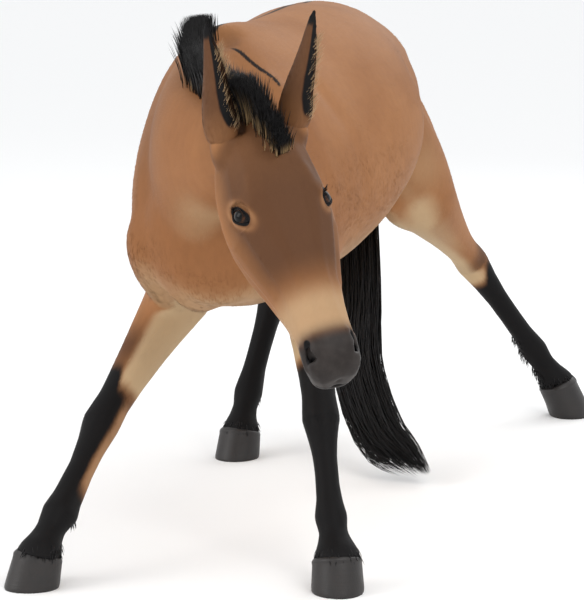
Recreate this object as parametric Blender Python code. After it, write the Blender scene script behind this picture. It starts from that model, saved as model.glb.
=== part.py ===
# A mule at life size, braced with its legs apart, its head lowered and turned to its left.
# Metres, +Z up. It faces -Y, its left side is +X, and the origin is on the floor under its middle.
import math
import random

import bmesh
import bpy
from mathutils import Matrix, Vector

# Driving dimensions
WITHERS = Vector((-0.04, -0.44, 1.10))
TRUNK_LEAN = math.radians(12)
HEAD_LENGTH = 0.54
HEAD_TURN = math.radians(35)
HEAD_NOSE_OUT = math.radians(36)
HEAD_LEAN = math.radians(10.3)
POLL = Vector((0.222, -0.935, 0.957))
EAR_LENGTH = 0.218
EYE_RADIUS = 0.021
GAP = 0.0003

# The middle of the whole animal on the floor, which becomes the origin
MIDDLE = Vector((0.078, 0.003, 0.0))

# How fine the flesh is made
VOXEL = 0.005
FLESH_TRIANGLES = 5800
RING_POINTS = 20

# Trunk stations: distance behind the withers, drop of the topline, depth, half width, how far the
# widest level lies below the middle (0 even, 0.4 pear shaped), sidestep to the mule's right
TRUNK = (
    (-0.31, 0.40, 0.10, 0.075, 0.0, -0.01),
    (-0.28, 0.31, 0.25, 0.135, 0.0, -0.01),
    (-0.20, 0.17, 0.40, 0.190, 0.1, 0.0),
    (-0.10, 0.04, 0.55, 0.203, 0.25, 0.0),
    (0.03, 0.00, 0.575, 0.216, 0.34, 0.0),
    (0.18, 0.004, 0.569, 0.236, 0.28, 0.0),
    (0.34, -0.006, 0.553, 0.260, 0.20, 0.0),
    (0.50, -0.019, 0.526, 0.274, 0.16, 0.015),
    (0.64, -0.021, 0.490, 0.262, 0.13, 0.038),
    (0.78, -0.023, 0.445, 0.235, 0.10, 0.062),
    (0.90, 0.015, 0.41, 0.195, 0.05, 0.072),
    (1.00, 0.080, 0.33, 0.140, 0.05, 0.075),
    (1.06, 0.18, 0.16, 0.070, 0.0, 0.075),
)

# Neck stations: a point on the crest, a point under the throat, half width
NECK = (
    ((-0.045, -0.34, 1.04), (0.075, -0.52, 0.540), 0.130),
    ((-0.036, -0.50, 1.070), (0.065, -0.68, 0.590), 0.130),
    ((-0.015, -0.62, 1.045), (0.060, -0.745, 0.665), 0.112),
    ((0.024, -0.735, 1.014), (0.085, -0.780, 0.730), 0.094),
    ((0.095, -0.835, 0.985), (0.140, -0.820, 0.772), 0.080),
    ((0.175, -0.905, 0.965), (0.190, -0.860, 0.800), 0.068),
)

# Fore limb joints: inside the shoulder, elbow, knee, fetlock, coronet
FORE_RIGHT = (
    (-0.09, -0.36, 0.80), (-0.118, -0.42, 0.546), (-0.208, -0.675, 0.285), (-0.228, -0.86, 0.135), (-0.238, -0.925, 0.066),
)
FORE_LEFT = (
    (0.09, -0.36, 0.84), (0.160, -0.44, 0.600), (0.252, -0.62, 0.315), (0.306, -0.72, 0.135), (0.333, -0.765, 0.066),
)
# Hind limb joints: hip, stifle, hock, fetlock, coronet
HIND_RIGHT = (
    (-0.150, 0.38, 0.86), (-0.225, 0.24, 0.64), (-0.238, 0.54, 0.40), (-0.266, 0.40, 0.150), (-0.264, 0.345, 0.066),
)
HIND_LEFT = (
    (0.040, 0.40, 0.88), (0.130, 0.58, 0.62), (0.166, 0.905, 0.425), (0.303, 1.039, 0.179), (0.356, 1.073, 0.090),
)
# Which way each toe points, in degrees to the mule's left of straight ahead, and how far its heel is raised
TOE_TURN = {"fore_right": -36, "fore_left": 24, "hind_right": -12, "hind_left": 20}
HEEL_RAISE = {"fore_right": 0, "fore_left": 0, "hind_right": 0, "hind_left": 18}
# How far each hoof leans over to the mule's left
SIDE_LEAN = {"fore_right": 0, "fore_left": 0, "hind_right": 0, "hind_left": -23}

# Hoof: height, then its half width and its reach to toe and heel, at the coronet and at the ground
HOOF_HEIGHT = 0.066
HOOF_TOP = (0.048, 0.050, 0.044)
HOOF_SOLE = (0.054, 0.080, 0.052)

# Limb stations: place along the joints, half width, reach in front, reach behind
FORE_SHAPE = (
    (0.30, 0.040, 0.060, 0.070),
    (0.70, 0.066, 0.085, 0.100),
    (0.95, 0.070, 0.085, 0.110),
    (1.15, 0.064, 0.072, 0.085),
    (1.35, 0.055, 0.062, 0.062),
    (1.60, 0.044, 0.048, 0.048),
    (1.85, 0.037, 0.039, 0.040),
    (2.00, 0.042, 0.041, 0.044),
    (2.15, 0.035, 0.035, 0.040),
    (2.40, 0.0275, 0.027, 0.038),
    (2.70, 0.0265, 0.027, 0.040),
    (2.90, 0.031, 0.031, 0.044),
    (3.00, 0.036, 0.035, 0.048),
    (3.40, 0.031, 0.031, 0.032),
    (3.80, 0.043, 0.041, 0.038),
    (4.00, 0.050, 0.049, 0.044),
    (4.40, 0.051, 0.050, 0.046),
)
HIND_SHAPE = (
    (-0.20, 0.065, 0.090, 0.100),
    (0.10, 0.100, 0.140, 0.160),
    (0.50, 0.105, 0.130, 0.170),
    (0.85, 0.092, 0.105, 0.150),
    (1.00, 0.084, 0.092, 0.130),
    (1.35, 0.061, 0.068, 0.086),
    (1.70, 0.043, 0.048, 0.054),
    (1.88, 0.041, 0.045, 0.052),
    (2.00, 0.045, 0.045, 0.054),
    (2.15, 0.038, 0.039, 0.048),
    (2.40, 0.030, 0.030, 0.038),
    (2.80, 0.029, 0.030, 0.040),
    (3.00, 0.037, 0.035, 0.048),
    (3.40, 0.031, 0.031, 0.032),
    (3.80, 0.041, 0.041, 0.038),
    (4.00, 0.048, 0.048, 0.044),
    (4.40, 0.050, 0.050, 0.046),
)

# Head stations: share of its length from the poll, height of the face line, height of the jaw line,
# half widths of the face, the cheekbone, the cheek and the jaw
HEAD = (
    (-0.05, -0.045, -0.095, 0.020, 0.034, 0.036, 0.022),
    (-0.02, -0.015, -0.125, 0.032, 0.052, 0.056, 0.032),
    (0.06, 0.006, -0.155, 0.040, 0.070, 0.078, 0.044),
    (0.18, 0.015, -0.200, 0.054, 0.085, 0.098, 0.052),
    (0.30, 0.014, -0.220, 0.060, 0.093, 0.105, 0.054),
    (0.39, 0.009, -0.224, 0.056, 0.092, 0.103, 0.050),
    (0.50, 0.003, -0.210, 0.044, 0.080, 0.090, 0.044),
    (0.62, -0.004, -0.180, 0.034, 0.063, 0.072, 0.036),
    (0.74, -0.009, -0.150, 0.030, 0.053, 0.057, 0.032),
    (0.84, -0.012, -0.132, 0.031, 0.050, 0.049, 0.032),
    (0.91, -0.016, -0.128, 0.034, 0.052, 0.050, 0.034),
    (0.965, -0.029, -0.122, 0.030, 0.048, 0.046, 0.030),
    (0.995, -0.052, -0.106, 0.016, 0.030, 0.030, 0.020),
)
# Places on the head: share of its length from the poll, height out from the face line, distance from its midline
EYE = (0.332, -0.050, 0.072)
EYE_OPENING = (0.0185, 0.0105, 0.012)
EAR_ROOT = (0.072, -0.035, 0.067)
NOSTRIL = (0.910, -0.046, 0.039)
NOSTRIL_SIZE = (0.017, 0.0075, 0.018)
MOUTH_CORNER = (0.80, -0.094, 0.044)
MOUTH_FRONT = (0.995, -0.092, 0.0)
MOUTH_LINE = 0.0048

# Ears: the way each points, the way its cup opens, in the mule's own frame
EAR_AIM = {"right": (-0.135, -0.05, 0.98), "left": (0.16, 0.08, 0.98)}
EAR_OPENS = {"right": (0.97, -0.10, 0.05), "left": (0.99, -0.02, 0.04)}
# Ear stations: share of its length, half width, reach to the back, reach to the open side
EAR_SHAPE = (
    (0.00, 0.027, 0.029, 0.027),
    (0.10, 0.032, 0.033, 0.030),
    (0.25, 0.037, 0.037, 0.032),
    (0.40, 0.038, 0.036, 0.030),
    (0.60, 0.031, 0.028, 0.021),
    (0.80, 0.018, 0.018, 0.011),
    (0.93, 0.008, 0.010, 0.004),
    (1.00, 0.001, 0.002, 0.001),
)
EAR_WALL = 0.005

# Mane: points on the crest from the withers over the poll to the brow, and the height of the hair there
MANE = (
    ((-0.045, -0.47, 1.076), 0.045),
    ((-0.034, -0.55, 1.060), 0.065),
    ((-0.010, -0.65, 1.037), 0.070),
    ((0.034, -0.755, 1.008), 0.075),
    ((0.105, -0.845, 0.982), 0.080),
    ((0.185, -0.912, 0.966), 0.075),
)
FORELOCK = (
    ((0.185, -0.912, 0.962), 0.078),
    ((0.222, -0.938, 0.955), 0.078),
    ((0.265, -0.968, 0.930), 0.052),
    ((0.298, -0.985, 0.898), 0.030),
)

# Tail: its middle line from the dock to the tip, half width and half depth
TAIL = (
    ((-0.090, 0.56, 1.000), 0.030, 0.028),
    ((-0.100, 0.655, 0.945), 0.034, 0.032),
    ((-0.104, 0.705, 0.850), 0.040, 0.038),
    ((-0.074, 0.670, 0.700), 0.048, 0.042),
    ((-0.030, 0.550, 0.545), 0.053, 0.046),
    ((0.022, 0.400, 0.390), 0.055, 0.046),
    ((0.043, 0.315, 0.240), 0.062, 0.040),
    ((0.117, 0.237, 0.110), 0.064, 0.030),
    ((0.184, 0.197, 0.060), 0.056, 0.022),
    ((0.256, 0.153, 0.025), 0.022, 0.010),
)
# Tiers of its locks: where along the tail they start and end, and how many there are
TAIL_TIERS = ((0.08, 0.62, 4), (0.22, 0.84, 5), (0.34, 1.0, 9))
# Locks of the crest: how many, how wide, how thick, how deep their roots are sunk
MANE_LOCKS = (34, 0.046, 0.012, 0.028)
FORELOCK_LOCKS = (13, 0.036, 0.012, 0.025)

# Parting cuts between the torso, neck and head: centre, the way across the cut, radius
PARTINGS = (
    ((0.148, -0.848, 0.868), (0.575, -0.732, -0.366), 0.165),
    ((0.005, -0.558, 0.825), (0.204, -0.899, 0.390), 0.370),
)
# Parting cuts of the legs: place along the joints and radius
FORE_PARTINGS = ((1.42, 0.105), (2.28, 0.070))
HIND_PARTINGS = ((1.56, 0.125), (2.22, 0.075))

# Small geometry helpers

def blend(rows, steps):
    """Rows of numbers, smoothed through by a Catmull-Rom curve with this many steps to each span."""
    out = []
    last = len(rows) - 1
    for i in range(last):
        before, a, b, after = rows[max(i - 1, 0)], rows[i], rows[i + 1], rows[min(i + 2, last)]
        for k in range(steps):
            t = k / steps
            out.append(tuple(
                0.5 * (2 * q + (r - p) * t + (2 * p - 5 * q + 4 * r - s) * t * t + (3 * q - p - 3 * r + s) * t ** 3)
                for p, q, r, s in zip(before, a, b, after)
            ))
    out.append(tuple(rows[last]))
    return out


def along(points, place):
    """The point at a place counted in joints, such as 1.5 for half way from the second to the third."""
    last = len(points) - 2
    i = min(max(math.floor(place), 0), last)
    return Vector(points[i]).lerp(Vector(points[i + 1]), place - i)


def oval(centre, side, up, right, left, top, bottom, pear=0.0, count=RING_POINTS):
    """A ring of points round a centre, with its own reach each way."""
    ring = []
    for k in range(count):
        turn = 2 * math.pi * k / count
        across, high = math.sin(turn), math.cos(turn)
        reach = (left if across > 0 else right) * across * (1 - pear * high * (1 - 0.3 * abs(high)))
        ring.append(centre + side * reach + up * high * (top if high > 0 else bottom))
    return ring


def shell(mesh, rings):
    """Adds a closed skin over the rings to a bmesh."""
    made = [[mesh.verts.new(p) for p in ring] for ring in rings]
    for first, second in zip(made, made[1:]):
        for k in range(len(first)):
            n = (k + 1) % len(first)
            mesh.faces.new((first[k], first[n], second[n], second[k]))
    for ring, order in ((made[0], -1), (made[-1], 1)):
        middle = mesh.verts.new(sum((v.co for v in ring), Vector()) / len(ring))
        for k in range(len(ring)):
            pair = (ring[k], ring[(k + 1) % len(ring)])[::order]
            mesh.faces.new((*pair, middle))


def muscle(mesh, start, end, across, thick, facing):
    """Adds an egg-shaped muscle between two points, broad along `across` and thick along `facing`."""
    start, end = Vector(start), Vector(end)
    axis = end - start
    flat = Vector(facing)
    flat = (flat - axis * flat.dot(axis) / axis.length_squared).normalized()
    wide = axis.normalized().cross(flat)
    turn = Matrix((wide * across, flat * thick, axis / 2)).transposed().to_4x4()
    turn.translation = (start + end) / 2
    bmesh.ops.create_uvsphere(mesh, u_segments=16, v_segments=10, radius=1.0, matrix=turn)


def new_object(name, mesh, colour="coat"):
    bmesh.ops.recalc_face_normals(mesh, faces=mesh.faces)
    data = bpy.data.meshes.new(name)
    mesh.to_mesh(data)
    mesh.free()
    obj = bpy.data.objects.new(name, data)
    bpy.context.scene.collection.objects.link(obj)
    obj.data.materials.append(MATERIALS[colour])
    return obj


def settle(obj):
    """Applies the object's modifiers to its mesh."""
    graph = bpy.context.evaluated_depsgraph_get()
    made = bpy.data.meshes.new_from_object(obj.evaluated_get(graph))
    old = obj.data
    obj.modifiers.clear()
    obj.data = made
    bpy.data.meshes.remove(old)


def remove(obj):
    data = obj.data
    bpy.data.objects.remove(obj)
    bpy.data.meshes.remove(data)


def combine(obj, others, operation, solver="EXACT"):
    """Joins other solids to one, or cuts them from it, with one Boolean."""
    group = bpy.data.collections.new("tools")
    for other in others:
        group.objects.link(other)
    boolean = obj.modifiers.new("combine", "BOOLEAN")
    boolean.operation = operation
    boolean.solver = solver
    boolean.operand_type = "COLLECTION"
    boolean.collection = group
    settle(obj)
    for other in others:
        remove(other)
    bpy.data.collections.remove(group)


def material(name, colour, roughness):
    made = bpy.data.materials.new(name)
    made.use_nodes = True
    shader = made.node_tree.nodes["Principled BSDF"]
    shader.inputs["Base Color"].default_value = (*colour, 1.0)
    shader.inputs["Roughness"].default_value = roughness
    return made


# Trunk, neck and limbs, as overlapping shells

def trunk_point(back, across, drop):
    """A point of the trunk, leaned over to the mule's right about its topline."""
    lean = Matrix.Rotation(-TRUNK_LEAN, 3, "Y")
    return WITHERS + Vector((0, back, 0)) + lean @ Vector((across, 0, -drop))


def trunk(mesh):
    side = trunk_point(0, 1, 0) - WITHERS
    up = trunk_point(0, 0, -1) - WITHERS
    rings = []
    for back, drop, depth, half, pear, step in blend(TRUNK, 3):
        centre = trunk_point(back, -step, drop + depth * 0.47)
        rings.append(oval(centre, side, up, half, half, depth * 0.47, depth * 0.53, pear, 28))
    shell(mesh, rings)


def muscles(mesh):
    """Shoulders, breast, upper arms, rump, thighs and points of the hocks."""
    for way, joints in ((-1, FORE_RIGHT), (1, FORE_LEFT)):
        elbow = Vector(joints[1])
        point = trunk_point(-0.215, way * 0.168, 0.44)
        outward = trunk_point(0, way, 0) - trunk_point(0, 0, 0)
        muscle(mesh, trunk_point(-0.01, way * 0.042, 0.05), point, 0.105, 0.050, outward)
        muscle(mesh, point + Vector((0, -0.06, 0.06)), elbow + Vector((0, 0.06, -0.03)), 0.095, 0.062, outward)
        muscle(mesh, trunk_point(0.08, way * 0.13, 0.14), elbow + Vector((0, 0.05, -0.02)), 0.120, 0.072, outward)
        breast = trunk_point(-0.27, way * 0.065, 0.30), trunk_point(-0.18, way * 0.075, 0.58)
        muscle(mesh, *breast, 0.085, 0.075, Vector((0, -1, 0)))
    for way, joints in ((-1, HIND_RIGHT), (1, HIND_LEFT)):
        outward = trunk_point(0, way, 0) - trunk_point(0, 0, 0)
        croup = trunk_point(0.66, way * 0.12 - 0.06, 0.08), trunk_point(0.98, way * 0.115 - 0.07, 0.32)
        muscle(mesh, *croup, 0.130, 0.057, outward)
        thigh = trunk_point(0.97, way * 0.055 - 0.07, 0.10), along(joints, 1.40) + Vector((0, 0.035, 0.0))
        muscle(mesh, *thigh, 0.092, 0.082, outward)
        inside = Vector((-way * 0.045, 0, -0.020))
        front = along(joints, 0.95) + inside + Vector((0, -0.17, 0.025))
        muscle(mesh, front, along(joints, 1.22) + inside * 0.6, 0.056, 0.044, outward)
        hock, gaskin = Vector(joints[2]), along(joints, 1.45)
        shin = (Vector(joints[3]) - hock).normalized()
        back = (hock - (gaskin + Vector(joints[3])) / 2).normalized()
        tip = hock - shin * 0.035 + back * 0.052
        muscle(mesh, tip + shin * 0.080 - back * 0.010, tip - shin * 0.022, 0.020, 0.024, outward)
        muscle(mesh, tip + shin * 0.010 - back * 0.004, gaskin.lerp(hock, 0.05) + back * 0.040, 0.018, 0.018, outward)
    dock = Vector(TAIL[0][0]) + Vector((0.01, -0.10, 0.03)), Vector(TAIL[1][0])
    muscle(mesh, *dock, 0.034, 0.034, Vector((1, 0, 0)))


def neck(mesh):
    rows = [(*crest, *throat, half) for crest, throat, half in NECK]
    rows = blend(rows, 3)
    rings = []
    for i, row in enumerate(rows):
        crest, throat, half = Vector(row[:3]), Vector(row[3:6]), row[6]
        middle = (crest + throat) / 2
        near, far = rows[max(i - 1, 0)], rows[min(i + 1, len(rows) - 1)]
        ahead = Vector(far[:3]) + Vector(far[3:6]) - Vector(near[:3]) - Vector(near[3:6])
        up = (crest - throat).normalized()
        side = ahead.cross(up).normalized()
        reach = (crest - throat).length / 2
        rings.append(oval(middle, side, up, half, half, reach, reach, 0.12))
    shell(mesh, rings)


def limb(mesh, joints, shape, toe_turn):
    """A leg as one tapering shell through its joints."""
    toe = Vector((math.sin(math.radians(toe_turn)), -math.cos(math.radians(toe_turn)), 0))
    ahead = Vector((0, -1, 0))
    rows = blend([(*along(joints, place), half, front, behind, place) for place, half, front, behind in shape], 2)
    rings = []
    for i, row in enumerate(rows):
        near, far = rows[max(i - 1, 0)], rows[min(i + 1, len(rows) - 1)]
        bone = (Vector(far[:3]) - Vector(near[:3])).normalized()
        share = min(max(row[6] / (len(joints) - 1), 0), 1)
        facing = ahead.lerp(toe, share)
        forward = (facing - bone * facing.dot(bone)).normalized()
        side = forward.cross(-bone).normalized()
        rings.append(oval(Vector(row[:3]), side, forward, row[3], row[3], row[4], row[5]))
    shell(mesh, rings)


# The head, in its own frame: along the face towards the muzzle, out from the face, and to its left

def head_frame():
    turn = Matrix.Rotation(HEAD_TURN, 3, "Z") @ Matrix.Rotation(-HEAD_LEAN, 3, "Y")
    turn = turn @ Matrix.Rotation(-HEAD_NOSE_OUT, 3, "X")
    return turn @ Vector((0, 0, -1)), turn @ Vector((0, -1, 0)), turn @ Vector((1, 0, 0))


HEAD_DOWN, HEAD_OUT, HEAD_LEFT = head_frame()


def head_point(share, out, left):
    return POLL + HEAD_DOWN * share * HEAD_LENGTH + HEAD_OUT * out + HEAD_LEFT * left


def head(mesh):
    rings = []
    for share, face, jaw, brow, bone, cheek, chin in blend(HEAD, 3):
        depth = face - jaw
        half = [
            (0.0, face), (brow * 0.6, face - depth * 0.01), (brow, face - depth * 0.05),
            (bone * 0.96, face - depth * 0.18), (bone, face - depth * 0.27),
            (cheek * 1.04, face - depth * 0.45), (cheek * 0.9, face - depth * 0.68),
            (chin * 1.2, face - depth * 0.88), (chin * 0.7, face - depth * 0.98),
            (0.0, jaw),
        ]
        outline = half + [(-x, y) for x, y in half[-2:0:-1]]
        rings.append([head_point(share, out, left) for left, out in outline])
    shell(mesh, rings)


def head_muscles(mesh):
    """Brows, cheeks, facial crests, nostril wings, lips and the roots of the ears."""
    for way in (-1, 1):
        out = HEAD_OUT * 0.5 + HEAD_LEFT * way
        share, rise, across = EYE
        muscle(mesh, head_point(share - 0.085, rise + 0.022, way * (across - 0.004)),
               head_point(share + 0.055, rise + 0.024, way * (across - 0.004)), 0.020, 0.020, out)
        muscle(mesh, head_point(share - 0.012, rise, way * across),
               head_point(share + 0.012, rise, way * across), 0.0262, 0.0262, out)
        muscle(mesh, head_point(share + 0.03, rise - 0.042, way * (across + 0.006)),
               head_point(share + 0.28, rise - 0.010, way * (across - 0.026)), 0.012, 0.014, HEAD_LEFT * way)
        muscle(mesh, head_point(0.16, -0.115, way * 0.074),
               head_point(0.50, -0.135, way * 0.062), 0.066, 0.026, HEAD_LEFT * way)
        share, rise, across = NOSTRIL
        muscle(mesh, head_point(share - 0.075, rise + 0.012, way * (across - 0.008)),
               head_point(share + 0.055, rise - 0.010, way * (across - 0.012)), 0.024, 0.018, out)
        share, rise, across = EAR_ROOT
        aim = Vector(EAR_AIM["left" if way > 0 else "right"])
        root = head_point(share, rise, way * across)
        muscle(mesh, root - aim * 0.055, root + aim * 0.050, 0.031, 0.031, out)
    muscle(mesh, head_point(0.90, -0.066, -0.02), head_point(0.985, -0.062, 0.0), 0.036, 0.022, HEAD_OUT)
    muscle(mesh, head_point(0.86, -0.104, 0.0), head_point(0.975, -0.100, 0.0), 0.034, 0.016, HEAD_OUT)


def flesh():
    """The whole animal without its hooves, ears and hair, as one smooth closed surface."""
    mesh = bmesh.new()
    trunk(mesh)
    muscles(mesh)
    neck(mesh)
    head(mesh)
    head_muscles(mesh)
    limb(mesh, FORE_RIGHT, FORE_SHAPE, TOE_TURN["fore_right"])
    limb(mesh, FORE_LEFT, FORE_SHAPE, TOE_TURN["fore_left"])
    limb(mesh, HIND_RIGHT, HIND_SHAPE, TOE_TURN["hind_right"])
    limb(mesh, HIND_LEFT, HIND_SHAPE, TOE_TURN["hind_left"])
    obj = new_object("flesh", mesh)
    remesh = obj.modifiers.new("remesh", "REMESH")
    remesh.mode = "VOXEL"
    remesh.voxel_size = VOXEL
    settle(obj)
    soften(obj, "all", 8, lambda point: 1.0)
    soften(obj, "body", 45, body_share)
    fewer = obj.modifiers.new("fewer", "DECIMATE")
    fewer.ratio = FLESH_TRIANGLES / (2 * len(obj.data.polygons))
    settle(obj)
    return obj


def from_head(point):
    """How far a point is from the head's middle line."""
    return max(min((point - head_point(share, -0.08, 0)).length for share in (0.1, 0.4, 0.7, 1.0)) - 0.10, 0)


def body_share(point):
    """How much of the heavy smoothing a point takes: all on the trunk, none on the head and lower legs."""
    return min(max((point.z - 0.42) / 0.15, 0), 1) * min(max((from_head(point) - 0.04) / 0.06, 0), 1)


def soften(obj, name, turns, share):
    group = obj.vertex_groups.new(name=name)
    for vertex in obj.data.vertices:
        group.add([vertex.index], share(vertex.co), "REPLACE")
    smooth = obj.modifiers.new(name, "SMOOTH")
    smooth.factor = 0.5
    smooth.iterations = turns
    smooth.vertex_group = name
    settle(obj)
    obj.vertex_groups.clear()


# Cutters and parting

def rod(centre, axis, radius, near, far, count=24):
    """A round cutter along an axis, from `near` to `far` before its centre."""
    axis = Vector(axis).normalized()
    side = axis.orthogonal().normalized()
    mesh = bmesh.new()
    middles = [Vector(centre) + axis * place for place in (near, far)]
    rings = [oval(middle, side, axis.cross(side), *[radius] * 4, 0, count) for middle in middles]
    shell(mesh, rings)
    return new_object("cutter", mesh)


def ball(name, centre, radius, colour="coat", fine=(20, 14)):
    mesh = bmesh.new()
    place = Matrix.Translation(centre)
    bmesh.ops.create_uvsphere(mesh, u_segments=fine[0], v_segments=fine[1], radius=radius, matrix=place)
    return new_object(name, mesh, colour)


def egg(centre, axis, facing, length, across, thick):
    mesh = bmesh.new()
    axis = Vector(axis).normalized() * length
    muscle(mesh, Vector(centre) - axis, Vector(centre) + axis, across, thick, facing)
    return new_object("cutter", mesh)


def tube(points, radius, count=6):
    """A thin round cutter along a path."""
    rings = []
    for i, point in enumerate(points):
        ahead = (points[min(i + 1, len(points) - 1)] - points[max(i - 1, 0)]).normalized()
        side = ahead.orthogonal().normalized()
        rings.append(oval(point, side, ahead.cross(side), *[radius] * 4, 0, count))
    mesh = bmesh.new()
    shell(mesh, rings)
    return new_object("cutter", mesh)


def bodies(obj):
    """The closed surfaces of an object, each as a list of its faces."""
    mesh = bmesh.new()
    mesh.from_mesh(obj.data)
    left, found = set(mesh.faces), []
    while left:
        group, edge = set(), [left.pop()]
        while edge:
            face = edge.pop()
            group.add(face)
            for side in face.edges:
                for other in side.link_faces:
                    if other in left:
                        left.discard(other)
                        edge.append(other)
        found.append(group)
    return mesh, sorted(found, key=len, reverse=True)


def keep_largest(obj):
    """Keeps only the largest closed surface of an object."""
    mesh, found = bodies(obj)
    for group in found[1:]:
        bmesh.ops.delete(mesh, geom=list(group), context="FACES")
    mesh.to_mesh(obj.data)
    mesh.free()


def part(obj, landmarks):
    """Splits an object into its closed bodies, each named after the landmark nearest to its middle."""
    mesh, found = bodies(obj)
    mesh.faces.index_update()
    made = {}
    for group in found[:len(landmarks)]:
        corners = {v for face in group for v in face.verts}
        middle = sum((v.co for v in corners), Vector()) / len(corners)
        free = [name for name in landmarks if name not in made]
        name = min(free, key=lambda near: (Vector(landmarks[near]) - middle).length)
        kept = {face.index for face in group}
        piece = bmesh.new()
        piece.from_mesh(obj.data)
        others = [face for face in piece.faces if face.index not in kept]
        bmesh.ops.delete(piece, geom=others, context="FACES")
        made[name] = new_object(name, piece)
    mesh.free()
    remove(obj)
    return made


def surface_point(obj, start, way):
    """Where a line from inside the head comes out of it."""
    found, place, _, _ = obj.ray_cast(start, way)
    return place if found else start


def face_details(obj):
    """Cuts the eye sockets and openings, the nostrils and the line of the mouth, and returns the eye centres."""
    tools = []
    eyes = {}
    for side, way in (("right", -1), ("left", 1)):
        share, rise, across = EYE
        centre = head_point(share, rise, way * across)
        look = (HEAD_LEFT * way + HEAD_OUT * 0.38).normalized()
        eyes[side] = centre
        tools.append(ball("cutter", centre, EYE_RADIUS + GAP * 2, fine=(16, 10)))
        slant = (HEAD_DOWN + HEAD_OUT * -0.25).normalized()
        tools.append(egg(centre + look * EYE_RADIUS, slant, look, *EYE_OPENING))
        share, rise, across = NOSTRIL
        centre = head_point(share, rise, way * across)
        out = (HEAD_LEFT * way + HEAD_OUT * 0.35).normalized()
        inside = surface_point(obj, head_point(share, rise - 0.01, 0), out) - HEAD_LEFT * way * 0.004
        tools.append(egg(inside, HEAD_DOWN + HEAD_OUT * 0.55, HEAD_LEFT * way, *NOSTRIL_SIZE))
    share, rise, _ = MOUTH_CORNER
    last, low, _ = MOUTH_FRONT
    sides = {}
    for way in (-1, 1):
        sides[way] = []
        for k in range(9):
            t = k / 8
            inside = head_point(share + (last - 0.045 - share) * t, rise + (low - rise) * t, 0)
            turn = math.radians(90) * t ** 2.5
            out = (HEAD_LEFT * way * math.cos(turn) + HEAD_DOWN * math.sin(turn)).normalized()
            sides[way].append(surface_point(obj, inside, out))
    tools.append(tube(sides[-1] + sides[1][-2::-1], MOUTH_LINE / 2))
    combine(obj, tools, "DIFFERENCE")
    return eyes


# Hooves, ears and hair

def coronet_cut(joints, name):
    """The plane between a leg and its hoof: its middle, and the ways up, forward and across."""
    toe, lean, heel = (math.radians(table[name]) for table in (TOE_TURN, SIDE_LEAN, HEEL_RAISE))
    turn = Matrix.Rotation(toe, 3, "Z") @ Matrix.Rotation(lean, 3, "Y") @ Matrix.Rotation(heel, 3, "X")
    ahead, upright, side = turn @ Vector((0, -1, 0)), turn @ Vector((0, 0, 1)), turn @ Vector((1, 0, 0))
    up = (upright * 0.955 - ahead * 0.295).normalized()
    return Vector(joints[-1]), up, up.cross(side).normalized() * -1, side, ahead, upright


def hoof(name, joints):
    """A hoof from its coronet down to a flat at the floor."""
    top, up, slope, side, ahead, upright = coronet_cut(joints, name)
    if slope.dot(ahead) < 0:
        slope = -slope
    half, toe, heel = HOOF_TOP
    width, front, rear = HOOF_SOLE
    rings = []
    for share, swell in ((0.0, 1.0), (0.12, 1.03), (0.55, 1.01), (1.0, 1.0), (1.45, 0.97)):
        forward = slope.lerp(ahead, min(share, 1)).normalized()
        centre = top - up * GAP - upright * HOOF_HEIGHT * share + ahead * 0.016 * share
        across = swell * (half + (width - half) * min(share, 1))
        reach = [swell * (a + (b - a) * min(share, 1)) for a, b in ((toe, front - 0.016), (heel, rear))]
        rings.append(oval(centre, side, forward, across, across, *reach, 0, 24))
    mesh = bmesh.new()
    shell(mesh, rings)
    obj = new_object(f"hoof_{name}", mesh, "horn")
    combine(obj, [rod(top - Vector((0, 0, top.z)), (0, 0, -1), 0.3, 0, 0.3)], "DIFFERENCE")
    keep_largest(obj)
    return obj


def ear_parts(side):
    """The middle of an ear's root, the way it points, the way it opens and the way across it."""
    way = -1 if side == "right" else 1
    share, rise, across = EAR_ROOT
    aim = Vector(EAR_AIM[side]).normalized()
    opens = Vector(EAR_OPENS[side])
    opens = (opens - aim * opens.dot(aim)).normalized()
    return head_point(share, rise, way * across) + aim * 0.022, aim, opens, aim.cross(opens)


def ear_room(side):
    """The space that an ear takes up, cut out of the hair beside it."""
    return ear(side, 0.0012, True)


def ear(side, grow=0.0, room=False):
    """An ear as a cupped leaf, curving a little inwards to its tip."""
    root, aim, opens, wide = ear_parts(side)
    outer, inner = bmesh.new(), bmesh.new()
    solid, hollow = [], []
    for share, half, back, front in blend(EAR_SHAPE, 2):
        place = share * (EAR_LENGTH + grow) - grow * (share == 0)
        bow = opens * 0.010 * math.sin(share * math.pi)
        centre = root + aim * (place + GAP) + bow
        half, back, front = half + grow, back + grow, front + grow
        solid.append(oval(centre, wide, opens, half, half, front, back, 0, 14))
        if 0.10 < share < 0.93:
            wall = EAR_WALL * (1 - 0.55 * share)
            thin, deep = max(half - wall, 0.0012), max(back - wall, 0.0008)
            hollow.append(oval(centre, wide, opens, thin, thin, front + 0.012, deep, 0, 12))
    shell(outer, solid)
    if room:
        return new_object("cutter", outer)
    shell(inner, hollow)
    obj = new_object(f"ear_{side}", outer)
    combine(obj, [new_object("cutter", inner)], "DIFFERENCE")
    keep_largest(obj)
    return obj


def lock(root, rise, lean, length, across, width, thick, rings=4):
    """One flat tapered lock, standing on its sunk root and bending over as it rises."""
    made = []
    for k in range(rings):
        t = k / (rings - 1)
        centre = root + rise * length * t + lean * length * t * t
        ahead = (rise + lean * 2 * t).normalized()
        wide = (across - ahead * across.dot(ahead)).normalized()
        flat = ahead.cross(wide)
        taper = 0.90 + 0.4 * t - 0.95 * t ** 3
        half = [(wide, width / 2 * taper), (flat, thick / 2 * taper)]
        made.append([centre + way * reach * sign for sign in (1, -1) for way, reach in half])
    mesh = bmesh.new()
    shell(mesh, made)
    return new_object("lock", mesh, "hair")


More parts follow.
